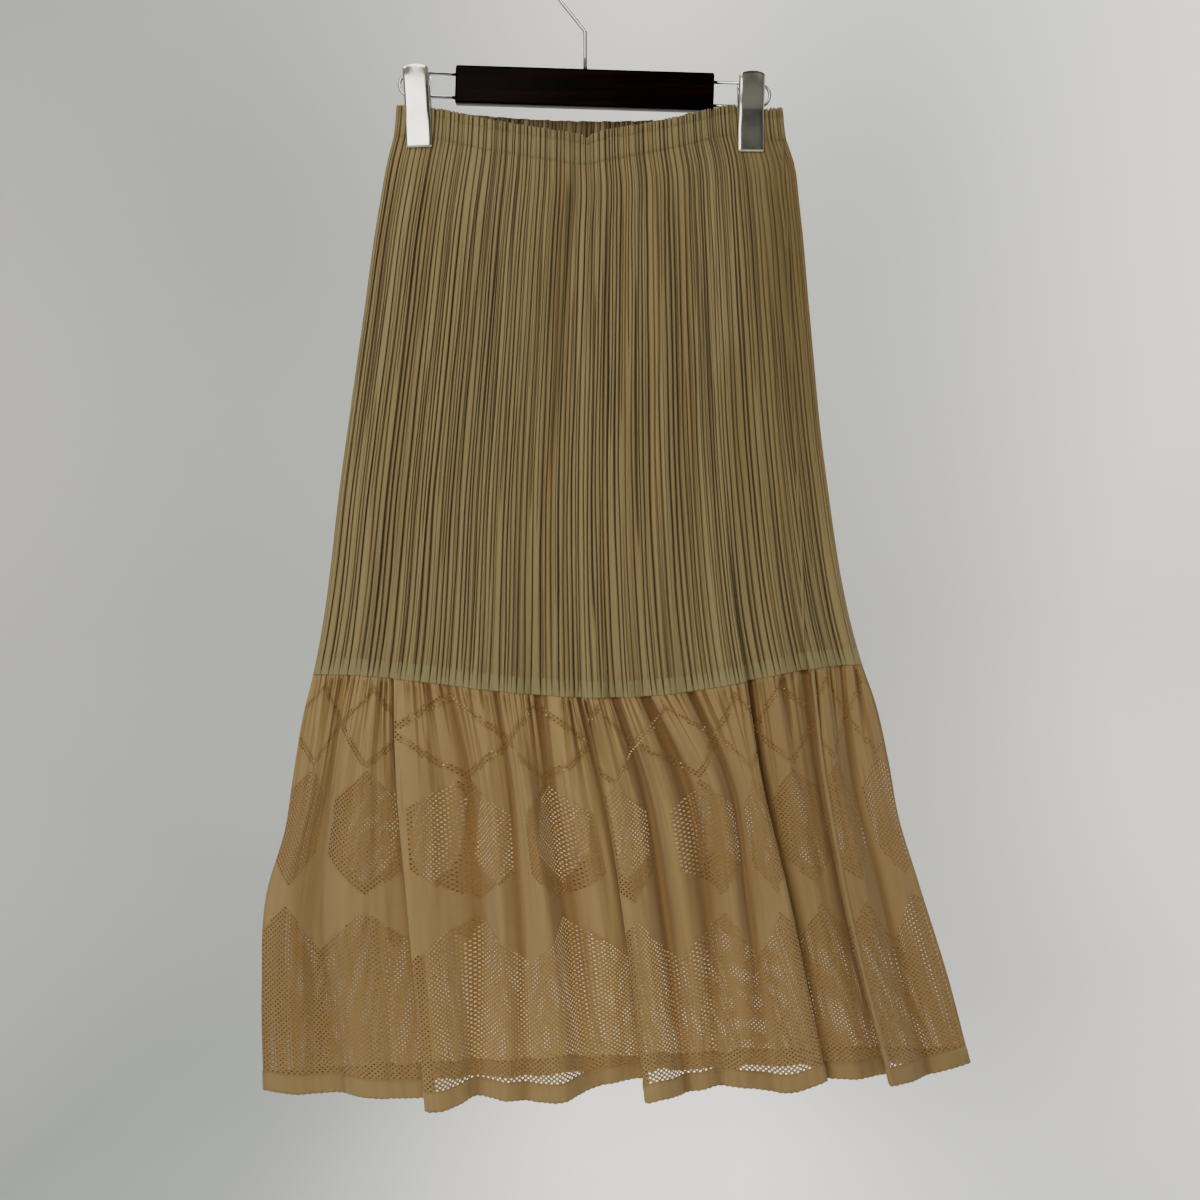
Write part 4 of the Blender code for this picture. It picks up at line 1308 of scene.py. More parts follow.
@dataclass(frozen=True)
class NetLayout:
    """Where the openwork lies: dotted diamonds, a row of hexagons, then the net."""

    pitch: float = 0.0780
    first: float = 0.0200
    pins: tuple[float, ...] = (
        -0.226, -0.175, -0.087, -0.026, 0.033, 0.102, 0.141, 0.173, 0.207, 0.242,
    )
    line_middle: float = 0.040
    line_rise: float = 0.030
    line_half: float = 0.0034
    line_top: float = 0.006
    hexagon_middle: float = 0.1215
    hexagon_half_height: float = 0.0480
    hexagon_half_width: float = 0.0305
    hexagon_slope: float = 0.80
    net_top: float = 0.1830
    net_drop: float = 0.0370

    def mask(self, u: Array, v: Array) -> Array:
        """True where the cloth is openwork.

        Args:
            u: places along the flounce in metres of cloth.
            v: distances below the seam in metres.

        Returns:
            One truth value for each place.
        """
        off = np.abs((u - self.first + self.pitch / 2) % self.pitch - self.pitch / 2)
        share = off / (self.pitch / 2)
        lines = np.abs(share * self.line_rise + np.abs(v - self.line_middle) - self.line_rise)
        dotted = (lines < self.line_half) & (v > self.line_top)
        point = self.hexagon_half_height - self.hexagon_slope * off
        hexagon = (off < self.hexagon_half_width) & (np.abs(v - self.hexagon_middle) < point)
        net = v > self.net_top + self.net_drop * share
        return dotted | hexagon | net


@dataclass
class Flounce:
    """The gathered tier: one sheet of diamonds, those in the openwork pierced.

    A row of gathers holds their number, how deep they are, how far down they reach, their
    half width in cells and where they start. A row of sharp holds the name of a trough, how
    deep its crease is and how far down it reaches.
    """

    tube: Tube
    side: Side
    finish: bpy.types.Material
    thread: bpy.types.Material
    layout: NetLayout = field(default_factory=NetLayout)
    cell: tuple[float, float] = (0.00240, 0.00187)
    front_hole: tuple[float, float] = (0.00102, 0.00080)
    back_hole: tuple[float, float] = (0.00052, 0.00040)
    glow_middle: float = -0.030
    glow_half: float = 0.150
    front_glow: float = 0.20
    back_shade: float = 0.60
    back_net: float = 0.3
    hole_corners: int = 6
    hem_band: float = 0.0148
    hem_wall: float = 0.0012
    hem_rows: int = 6
    seam_beside: float = 1.0
    seam_shade: float = 0.9
    stitches_below: float = 0.0016
    stitch_lift: float = 0.0001
    tuck_in: float = 0.0010
    puff: float = 0.0016
    puff_reach: float = 0.03
    swell: float = 0.0007
    swell_reach: float = 0.05
    softness: float = 0.0007
    gather_spread: float = 0.08
    gather_lean: float = 22.0
    gather_fade: float = 0.055
    crease_half: float = 1.6
    least_out: float = 0.0006
    tooth: float = 0.00035
    gathers: tuple[tuple[int, float, float, float, float], ...] = (
        (98, 0.0046, 0.042, 0.66, 0.000), (38, 0.0042, 0.110, 1.35, 0.000),
        (30, 0.0032, 0.220, 2.50, 0.050),
    )
    sharp: tuple[tuple[str, float, float], ...] = (
        ("b_trough", 0.0036, 0.30), ("d_trough", 0.0016, 0.10), ("f_trough", 0.0030, 0.14),
        ("f_deep", 0.0026, 0.30), ("h_trough", 0.0028, 0.30), ("i_trough", 0.0028, 0.30),
        ("k_trough", 0.0036, 0.30), ("l_trough", 0.0032, 0.30), ("a_trough", 0.0020, 0.12),
        ("c_back", 0.0018, 0.16), ("e_trough", 0.0016, 0.30), ("g_back", 0.0018, 0.20),
        ("j_trough", 0.0018, 0.30), ("m_trough", 0.0016, 0.30),
    )
    cut: tuple[float, float] = (0.66, 0.33)

    def __post_init__(self) -> None:
        """Lays the cloth's columns evenly along the hem, and its rows evenly down."""
        self.folds = Folds(self.tube, self.side)
        self.top = self.tube.depth_of("seam") - self.tuck_in
        self.hem = self.tube.depth_of("hem")
        along = np.linspace(0, self.folds.count - 1, 3000)
        at_hem = np.full_like(along, self.hem)
        x, out, _ = self.folds.read(along, at_hem)
        steps = np.hypot(np.diff(x), np.diff(out))
        self.run = np.concatenate([[0], np.cumsum(steps)])
        self.along = along
        self.columns = 2 * int(round(self.run[-1] / self.cell[0] / 2))
        deep = self.hem - self.hem_band - self.top
        self.rows = 2 * int(round(deep / self.cell[1] / 2))
        self.row_step = deep / self.rows

    def knots_at(self, column: Array) -> Array:
        """The place along the folds' knots of each column."""
        return np.interp(column / self.columns * self.run[-1], self.run, self.along)

    def gathered(self, column: Array, depth: Array) -> Array:
        """How far the gathers sink the cloth: narrow valleys that fade down from the seam.

        Each valley is a bell across the columns times an exponential down the cloth.

        Args:
            column: places across, in cells.
            depth: depths below the origin.

        Returns:
            The sinking in metres, from 0 down.
        """
        down = np.maximum(depth - self.top, 0)
        total = np.zeros(np.broadcast(column, depth).shape)
        for band, (count, deepest, longest, widest, start) in enumerate(self.gathers):
            seed = self.side.seed(51) + 10 * band
            number = np.arange(count)
            middles = (number + 0.5 + 0.8 * (scatter(count, seed) - 0.5)) * self.columns / count
            deep = deepest * (0.25 + 1.0 * scatter(count, seed + 2))
            reach = longest * (0.35 + 1.3 * scatter(count, seed + 4) ** 2)
            half = widest * (0.8 + 0.5 * scatter(count, seed + 6))
            lean = self.gather_lean * (scatter(count, seed + 8) - 0.5)
            shown = smoothstep(start - 0.03, start + 0.03, down) if start else 1.0
            for k in range(count):
                spread = half[k] * (1 + down / self.gather_spread)
                middle = np.round(middles[k]) + lean[k] * np.maximum(down - 0.01, 0)
                off = (column - middle) / spread
                total -= deep[k] * shown * np.exp(-(off**2) - down / reach[k])
        total *= 0.12 + 0.88 * smoothstep(0.0008, 0.007, down)
        return total

    def creased(self, column: Array, depth: Array) -> Array:
        """How far the sharp creases sink the cloth along the named troughs."""
        total = np.zeros(np.broadcast(column, depth).shape)
        if self.side is Side.BACK:
            return total
        down = np.maximum(depth - self.top, 0)
        knots = np.arange(self.folds.count)
        at = np.interp(knots, self.along, self.run) / self.run[-1] * self.columns
        for name, deep, reach in self.sharp:
            middle = np.round(at[self.folds.knot(name)])
            fade = 1 - smoothstep(0.75 * reach, reach + 0.05, down)
            total -= deep * fade * np.exp(-(((column - middle) / self.crease_half) ** 2))
        return total

    def surface(self, column: Array, depth: Array) -> Array:
        """The flounce at scattered places.

        Its distance from the middle plane is the tube's, with the folds, the gathers and
        creases, a soft unevenness and a puff below the seam, kept smoothly above nothing.

        Args:
            column: places across, in cells, flat.
            depth: depths below the origin, flat.

        Returns:
            Points, N by 3.
        """
        x, fold, lift = self.folds.read(self.knots_at(column), depth)
        across = np.clip(self.tube.across_at(x, depth), -1, 1)
        _, out, z = self.tube.surface(depth, across, self.side)
        room = smoothstep(0, 0.05, 1 - np.abs(across))
        down = np.clip((depth - self.top) / (self.hem - self.top), 0, 1)
        soft = self.softness * waver(9.0, column * 0.62, depth * 21) * (0.3 + down)
        below = np.maximum(depth - self.top, 0)
        puff = self.puff * smoothstep(0.0, 0.007, below) * np.exp(-below / self.puff_reach)
        puff = puff + self.swell * np.exp(-below / self.swell_reach)
        fine = self.gathered(column, depth) + self.creased(column, depth) + soft + puff
        proud = out + fold + fine * room
        y = 0.5 * (proud + np.sqrt(proud**2 + self.least_out**2))
        return np.stack([x, self.side.sign * y, z + lift], axis=-1)

    def pattern_place(self, column: Array) -> Array:
        """Where each column lies in the openwork's pattern, in metres.

        On the front the hexagons' middles are pinned to the photo's, and the pattern is
        stretched evenly between two pins. On the back it runs on evenly.
        """
        if self.side is Side.BACK:
            return column * self.cell[0]
        every = np.arange(self.columns + 1, dtype=float)
        row = self.surface(every, np.full_like(every, self.top + self.layout.hexagon_middle))
        x = np.maximum.accumulate(row[:, 0] + 1e-7 * every)
        pins = np.interp(self.layout.pins, x, every)
        places = self.layout.first + self.layout.pitch * np.arange(len(pins))
        beyond = 40
        pins = np.concatenate([[pins[0] - beyond], pins, [pins[-1] + beyond]])
        first, last = places[0] - beyond * self.cell[0], places[-1] + beyond * self.cell[0]
        return np.interp(column, pins, np.concatenate([[first], places, [last]]))

    def recesses(self, points: Array) -> Array:
        """How deep each grid point lies below its row's local average, from 0 to 1, for painted
        shade.
        """
        out = points[..., 1] * self.side.sign
        number, last = np.arange(out.shape[1]), out.shape[1] - 1
        shifts = range(-4, 5)
        total = sum(np.take(out, np.clip(number + shift, 0, last), axis=1) for shift in shifts)
        return np.clip((total / len(shifts) - out - 0.0003) / 0.0022, 0, 1)

    def build(self) -> bpy.types.Object:
        """Builds the sheet and its hem band."""
        b, a = np.meshgrid(np.arange(self.rows + 1), np.arange(self.columns + 1), indexing="ij")
        grid = self.surface(a.reshape(-1).astype(float), self.top + b.reshape(-1) * self.row_step)
        grid = grid.reshape(self.rows + 1, self.columns + 1, 3)
        # The mark of painted shade: the recesses, and the painted shadow beside the side seam.
        recess_shade = np.clip(self.recesses(grid) + self.seam_shadow_line(a, b * self.row_step), 0, 1)
        openwork = self.layout.mask(self.pattern_place(a), b * self.row_step)
        inner = (a > 0) & (a < self.columns) & (b > 0) & (b < self.rows)
        middles = (a + b) % 2 == 1
        pierced = middles & inner & openwork
        number = np.where(pierced, -1, np.cumsum(~pierced).reshape(pierced.shape) - 1)
        plain = self.plain_faces(number, middles & ~pierced)
        rimmed, ring_a, ring_b = self.rimmed_faces(number, pierced)
        ring = self.surface(ring_a, self.top + ring_b * self.row_step)
        places_a = np.concatenate([a[~pierced], ring_a])
        places_v = np.concatenate([b[~pierced], ring_b]) * self.row_step
        points = np.concatenate([grid[~pierced], ring])
        rims = np.repeat(recess_shade[pierced], self.hole_corners)
        marks = self.marks(
            points, np.concatenate([recess_shade[~pierced], rims]),
            np.concatenate([openwork[~pierced], np.ones(len(ring_a))]), places_v,
        )
        faces = plain + rimmed
        if self.side is Side.BACK:
            faces = [f[:, ::-1] for f in faces]
        name = f"flounce_{self.side.value}_cloth"
        uv = np.stack([places_a * self.cell[0], -places_v], axis=-1)
        piece = ClothMesh.build(name, points, faces, self.finish, uv, marks)
        trimmings = [self.hem_piece(), self.hem_stitches()]
        if self.side is Side.FRONT:
            trimmings.append(self.side_seam())
        fitted(piece, Slot.OPENWORK, f"flounce_{self.side.value}")
        LOG.info("%s has %d holes", name, int(pierced.sum()))
        return piece

    def marks(self, points: Array, recess_shade: Array, net: Array, v: Array) -> dict[str, Array]:
        """The numbers that the finish reads at each point.

        The light behind the skirt falls on its middle, as a steep bell across, and there the finish
        lets more through as painted light. Of the net, the back's glows there and has painted shade
        beside it, and the front's glows a little.

        Args:
            points: the points, N by 3.
            recess_shade: how much painted shade each point has, from 0 to 1.
            net: 1 at a point of the openwork.
            v: distances below the seam.

        Returns:
            The marks by name.
        """
        bell = np.exp(-(((points[:, 0] - self.glow_middle) / self.glow_half) ** 4))
        gather = 0.08 + 0.92 * np.exp(-v / self.gather_fade)
        if self.side is Side.FRONT:
            shone = self.front_glow * net * bell
            return {"recess_shade": recess_shade, "net": net, "gather": gather, "shone": shone}
        # Painted shade on the back's net beside the bell.
        recess_shade = np.maximum(recess_shade, net * (1.0 - self.back_shade * bell))
        return {"recess_shade": recess_shade, "net": self.back_net * net, "gather": gather, "shone": net * bell}

    def seam_shadow_line(self, a: Array, v: Array) -> Array:
        """The painted shadow along the left of the front's side seam, by column and distance down."""
        if self.side is Side.BACK:
            return np.zeros(a.shape)
        near = np.exp(-(((a - self.seam_column() + 0.9) / 0.9) ** 2))
        return self.seam_shade * near * smoothstep(0.004, 0.03, v)

    def seam_column(self) -> float:
        """The column that the side seam runs down."""
        run = np.interp(self.folds.knot("l_edge"), self.along, self.run) / self.run[-1]
        return run * self.columns + self.seam_beside

    @staticmethod
    def around(number: Array) -> tuple[Array, Array, Array, Array]:
        """The numbers of the points left of, below, right of and above each point, or -1."""
        wide = np.pad(number, 1, constant_values=-1)
        return wide[1:-1, :-2], wide[2:, 1:-1], wide[1:-1, 2:], wide[:-2, 1:-1]

    def plain_faces(self, number: Array, plain: Array) -> list[Array]:
        """Four triangles round the middle of each plain diamond, fewer at the sheet's edges.

        Args:
            number: each grid point's number, -1 where it has none.
            plain: True at the middle of each diamond that has no hole.

        Returns:
            Arrays of triangles.
        """
        beside = self.around(number)
        faces = []
        for k in range(4):
            first, second = beside[k], beside[(k + 1) % 4]
            kept = plain & (first >= 0) & (second >= 0)
            faces.append(np.stack([number[kept], first[kept], second[kept]], axis=-1))
        return faces

    def rimmed_faces(self, number: Array, pierced: Array) -> tuple[list[Array], Array, Array]:
        """The faces between each pierced diamond and its six-cornered hole.

        Args:
            number: each grid point's number.
            pierced: True at the middle of each diamond that has a hole.

        Returns:
            Arrays of faces, and the holes' corners across and down, in cells.
        """
        left, below, right, above = (n[pierced] for n in self.around(number))
        b, a = np.nonzero(pierced)
        angle = np.arange(self.hole_corners) * 2 * math.pi / self.hole_corners
        hole = self.front_hole if self.side is Side.FRONT else self.back_hole
        radius = np.array(hole) / np.array(self.cell)
        ring_a = a[:, None] + radius[0] * np.cos(angle)[None, :]
        ring_b = b[:, None] - radius[1] * np.sin(angle)[None, :]
        ring = number.max() + 1 + np.arange(ring_a.size).reshape(ring_a.shape)
        quads = ((left, below, 4, 3), (below, right, 0, 5), (right, above, 1, 0), (above, left, 3, 2))
        faces = [np.stack([p, q, ring[:, m], ring[:, n]], axis=-1) for p, q, m, n in quads]
        faces.append(np.stack([below, ring[:, 5], ring[:, 4]], axis=-1))
        faces.append(np.stack([above, ring[:, 2], ring[:, 1]], axis=-1))
        return faces, ring_a.reshape(-1), ring_b.reshape(-1)

    def side_seam(self) -> bpy.types.Object:
        """The side seam, down the edge of the fold that it has pulled forward."""
        depth = np.linspace(self.top + 0.001, self.hem - 0.0005, 110)
        path = self.surface(np.full_like(depth, self.seam_column()), depth)
        path[:, 1] -= 0.0003
        welt = Welt(self.finish, half_width=0.0015, height=0.0017)
        return welt.build("flounce_side_seam", path, Slot.OPENWORK)

    def hem_stitches(self) -> bpy.types.Object:
        """The row of stitches that holds the turned hem."""
        column = np.arange(self.columns + 1, dtype=float)
        depth = np.full_like(column, self.hem - self.hem_band + self.stitches_below)
        path = self.surface(column, depth)
        name = f"flounce_{self.side.value}_hem_stitches"
        lift = self.hem_wall / 2 + self.stitch_lift
        return Stitching(self.thread).build(name, path, self.side, lift, Slot.OPENWORK)

    def hem_piece(self) -> bpy.types.Object:
        """The turned hem: a thicker band with a slightly toothed lower edge."""
        down = np.linspace(0, 1, self.hem_rows)
        row, column = np.meshgrid(down, np.arange(self.columns + 1, dtype=float), indexing="ij")
        depth = self.hem - self.hem_band * (1 - row)
        points = self.surface(column.reshape(-1), depth.reshape(-1)).reshape(*row.shape, 3)
        # The hem's mark of painted shade in its recesses.
        recess_shade = self.recesses(points)
        points[-1, :, 2] += self.tooth * (-1.0) ** np.arange(self.columns + 1)
        points[..., 1] += self.side.sign * 0.0003 * np.sin(np.pi * row)
        uv = np.stack([column * self.cell[0], -(depth - self.top)], axis=-1)
        faces = ClothMesh.grid(*points.shape[:2], self.side is Side.BACK)
        marks = {"recess_shade": recess_shade, "gather": np.full(recess_shade.size, 0.12)}
        name = f"flounce_{self.side.value}_hem"
        piece = ClothMesh.build(name, points, [faces], self.finish, uv, marks)
        ClothMesh.thicken(piece, self.hem_wall)
        return fitted(piece, Slot.OPENWORK)


@dataclass(frozen=True)
class Sweep:
    """A round wire carried along a path."""

    sides: int = 14

    def points(self, path: Array, radius: float) -> Array:
        """Rings of points round a path, each square to it and lined up with the Y axis.

        Args:
            path: the centreline's points, N by 3.
            radius: the wire's radius.

        Returns:
            Points N by sides by 3.
        """
        ahead = np.gradient(path, axis=0)
        ahead /= np.linalg.norm(ahead, axis=1, keepdims=True)
        reference = np.array([0.0, 1.0, 0.0])
        across = np.cross(ahead, reference)
        weak = np.linalg.norm(across, axis=1, keepdims=True) < 1e-6
        across = np.where(weak, np.array([1.0, 0.0, 0.0]), across)
        across /= np.linalg.norm(across, axis=1, keepdims=True)
        up = np.cross(across, ahead)
        angle = np.arange(self.sides) * 2 * math.pi / self.sides
        ring = np.cos(angle)[None, :, None] * across[:, None, :]
        ring = ring + np.sin(angle)[None, :, None] * up[:, None, :]
        return path[:, None, :] + radius * ring

    def build(
        self, name: str, path: Array, radius: float, finish: bpy.types.Material
    ) -> bpy.types.Object:
        """A closed wire with flat ends.

        Args:
            name: the piece's name.
            path: its centreline.
            radius: its radius.
            finish: its material.

        Returns:
            The new object.
        """
        rings = self.points(path, radius)
        count = len(path)
        points = np.concatenate([rings.reshape(-1, 3), path[:1], path[-1:]])
        body = ClothMesh.grid(count, self.sides, closed=True)
        i = np.arange(self.sides)
        after = (i + 1) % self.sides
        tip = np.full_like(i, count * self.sides)
        last = (count - 1) * self.sides
        first_cap = np.stack([tip, i, after], axis=-1)
        last_cap = np.stack([tip + 1, last + after, last + i], axis=-1)
        return ClothMesh.build(name, points, [body, first_cap, last_cap], finish)


@dataclass
class Hanger:
    """The wooden bar, its hook and the two rails that its clips sit on."""

    finishes: Finishes
    bar: tuple[float, float, float] = (0.2065, 0.0115, 0.0300)
    bar_top: float = -0.0919
    tilt: float = math.radians(1.75)
    bar_round: float = 0.0016
    hook_wire: float = 0.0034
    hook_radius: float = 0.0240
    hook_lean: float = math.radians(39.0)
    hook_tip_past: float = math.radians(24.0)
    hook_bend: float = 0.0022
    hook_in_bar: float = 0.018
    rail_wire: float = 0.0028
    rail_spacing: float = 0.0187
    rail_middle: float = 0.0156
    rail_reach: float = 0.1496
    rail_in_bar: float = 0.030

    def tilted(self, points: Array) -> Array:
        """Places points of the bar's own frame into the part's frame."""
        return turned(points, self.tilt) + [0, 0, self.bar_top]

    def bar_piece(self) -> bpy.types.Object:
        """The bar: a rounded rectangle carried along it, drawn in at both rounded ends."""
        length, depth, height = self.bar
        r = self.bar_round
        quarter = np.linspace(0, math.pi / 2, 6)
        drawn_in = r * (1 - np.sin(quarter))
        reach = length / 2 - r * (1 - np.cos(quarter))
        inset = np.concatenate([drawn_in, drawn_in[::-1]])
        station = np.concatenate([-reach, reach[::-1]])
        corner = np.concatenate([quarter + k * math.pi / 2 for k in range(4)])
        sign_y = np.repeat([1, -1, -1, 1], len(quarter))
        sign_z = np.repeat([1, 1, -1, -1], len(quarter))
        y = sign_y * (depth / 2 - r) + r * np.cos(corner)
        z = sign_z * (height / 2 - r) + r * np.sin(corner)
        y_all = y[None, :] - inset[:, None] * np.sign(y)[None, :]
        z_all = z[None, :] - inset[:, None] * np.sign(z)[None, :]
        x_all = station[:, None] + 0 * y_all
        points = self.tilted(np.stack([x_all, y_all, z_all - height / 2], axis=-1))
        body = ClothMesh.grid(*x_all.shape, closed=True)
        caps = ClothMesh.caps(*x_all.shape)
        piece = ClothMesh.build("bar_lacquered", points, [body, *caps], self.finishes.wood)
        return fitted(piece, Slot.WOOD, "hanger_bar")

    def hook(self) -> bpy.types.Object:
        """The hook: straight up, leaning out on a small bend, then round over the rod."""
        centre = np.array([0, 0, self.hook_wire / 2 - self.hook_radius])
        bend = np.array([0, 0, centre[2] - self.hook_radius / math.sin(self.hook_lean)])
        lean = np.array([-math.sin(self.hook_lean), 0, math.cos(self.hook_lean)])
        up = np.array([0.0, 0.0, 1.0])
        t = np.linspace(0, 1, 7)[:, None]
        below, above = bend - self.hook_bend * up, bend + self.hook_bend * lean
        knee = (1 - t) ** 2 * below + 2 * t * (1 - t) * bend + t**2 * above
        foot = np.array([[0, 0, self.bar_top - self.hook_in_bar]])
        angle = np.linspace(math.pi + self.hook_lean, -self.hook_tip_past, 60)
        turn = np.stack([np.cos(angle), 0 * angle, np.sin(angle)], axis=-1)
        path = np.concatenate([foot, knee, centre + self.hook_radius * turn])
        piece = Sweep().build("hook_wire", path, self.hook_wire / 2, self.finishes.chrome)
        return fitted(piece, Slot.CHROME, "hanger_hook")

    def rail(self, hand: str) -> bpy.types.Object:
        """One rail: out of the bar, round the far side of the clip and back in."""
        sign = -1 if hand == "left" else 1
        half = self.rail_spacing / 2
        inner = self.bar[0] / 2 - self.rail_in_bar
        turn = self.rail_reach - self.rail_wire / 2 - half
        angle = np.linspace(math.pi / 2, -math.pi / 2, 25)
        arc = np.stack([turn + half * np.cos(angle), half * np.sin(angle)], axis=-1)
        flat = np.concatenate([[[inner, half]], arc, [[inner, -half]]])
        x, z = sign * flat[:, 0], flat[:, 1] - self.rail_middle
        path = self.tilted(np.stack([x, 0 * x, z], axis=-1))
        piece = Sweep().build(f"rail_{hand}_wire", path, self.rail_wire / 2, self.finishes.chrome)
        return fitted(piece, Slot.CHROME, f"rail_{hand}")

    def build(self) -> list[bpy.types.Object]:
        """Builds the bar, the hook and the rails."""
        return [self.bar_piece(), self.hook(), self.rail("left"), self.rail("right")]


@dataclass
class Clip:
    """A clip: two bent nickel plates with turned edges, round a coiled spring."""

    hanger: Hanger
    hand: str
    x: float
    top: float
    foot: float
    lean: float
    width: float = 0.0200
    wall: float = 0.0009
    rim: float = 0.0002
    rows: int = 34
    columns: int = 25
    crown: float = 0.0026
    crown_power: float = 2.4
    edge_power: float = 14
    jaw_y: float = 0.0033
    lever_y: float = 0.0125
    knee_out: float = 0.0012
    knee_below: float = 0.1238
    knee_height: float = 0.008
    flange: float = 0.0013
    lip: float = 0.0012
    lip_from: float = 0.975
    coil_wire: float = 0.0011
    coil_turns: float = 7.5
    coil_length: float = 0.0165
    coil_inward: float = 0.0030
    coil_radius: float = 0.0072

    def spring_height(self, x: float) -> float:
        """The height of the middle between the two rails."""
        tilt, below = self.hanger.tilt, self.hanger.rail_middle
        return self.hanger.bar_top - below * math.cos(tilt) - x * math.tan(tilt)

    def plate(self, side: Side) -> bpy.types.Object:
        """One plate: its profile carried across, its edges turned in by a steep power.

        Args:
            side: the front plate or the back one.

        Returns:
            The new object.
        """
        spring = self.spring_height(self.x)
        barrel = self.hanger.rail_spacing / 2 - self.hanger.rail_wire / 2 - 0.0003
        outer = self.wall / 2
        levels = np.array([
            [self.top, self.lever_y], [spring, barrel + 0.0011],
            [-self.knee_below, self.jaw_y + outer + self.knee_out],
            [-self.knee_below - self.knee_height, self.jaw_y + outer],
            [self.foot, self.jaw_y + outer],
        ])
        close = [0.98, 0.988, 0.994, 0.998, 1.0]
        down = np.concatenate([np.linspace(0, 0.97, self.rows), close])
        z = self.top + down * (self.foot - self.top)
        y = hermite(-levels[:, 0], levels[:, 1], -z)
        across = np.sin(np.linspace(-math.pi / 2, math.pi / 2, self.columns))
        edge = np.abs(across) ** self.edge_power
        fade = smoothstep(0, 0.12, down)
        x_all = across[None, :] * self.width / 2 + 0 * z[:, None]
        flange = self.flange * (0.45 + 0.55 * (1 - smoothstep(0.5, 0.7, down)))
        y_all = y[:, None] - flange[:, None] * edge[None, :]
        lip = np.maximum((down - self.lip_from) / (1 - self.lip_from), 0) ** 2
        y_all = y_all - self.lip * lip[:, None]
        z_all = z[:, None] - (1 - fade[:, None]) * self.crown * np.abs(across) ** self.crown_power
        y_all = np.maximum(y_all, self.jaw_y * 0.55 + outer)
        upright = np.stack([x_all, side.sign * y_all, z_all - spring], axis=-1)
        points = turned(upright, self.lean) + [self.x, 0, spring]
        faces = ClothMesh.grid(*points.shape[:2], side is Side.BACK)
        node = f"clip_{self.hand}_{side.value}"
        piece = ClothMesh.build(f"{node}_plate", points, [faces], self.hanger.finishes.nickel)
        ClothMesh.thicken(piece, self.wall)
        rounded = piece.modifiers.new("rounded rim", "BEVEL")
        rounded.width = self.rim
        rounded.segments = 2
        rounded.limit_method = "ANGLE"
        return fitted(piece, Slot.STEEL, node)

    def spring(self) -> bpy.types.Object:
        """The spring: a helix of wire between the plates, along the bar."""
        t = np.linspace(-0.5, 0.5, int(self.coil_turns * 26))
        angle = 2 * math.pi * self.coil_turns * t
        y, z = self.coil_radius * np.cos(angle), self.coil_radius * np.sin(angle)
        helix = np.stack([self.coil_length * t, y, z], axis=-1)
        middle = self.x - math.copysign(self.coil_inward, self.x)
        path = turned(helix, self.hanger.tilt) + [middle, 0, self.spring_height(middle)]
        name = f"clip_{self.hand}_coil"
        piece = Sweep(sides=8).build(name, path, self.coil_wire / 2, self.hanger.finishes.chrome)
        return fitted(piece, Slot.CHROME, f"clip_{self.hand}_spring")

    def build(self) -> list[bpy.types.Object]:
        """Builds the two plates and the spring."""
        return [self.plate(Side.FRONT), self.plate(Side.BACK), self.spring()]


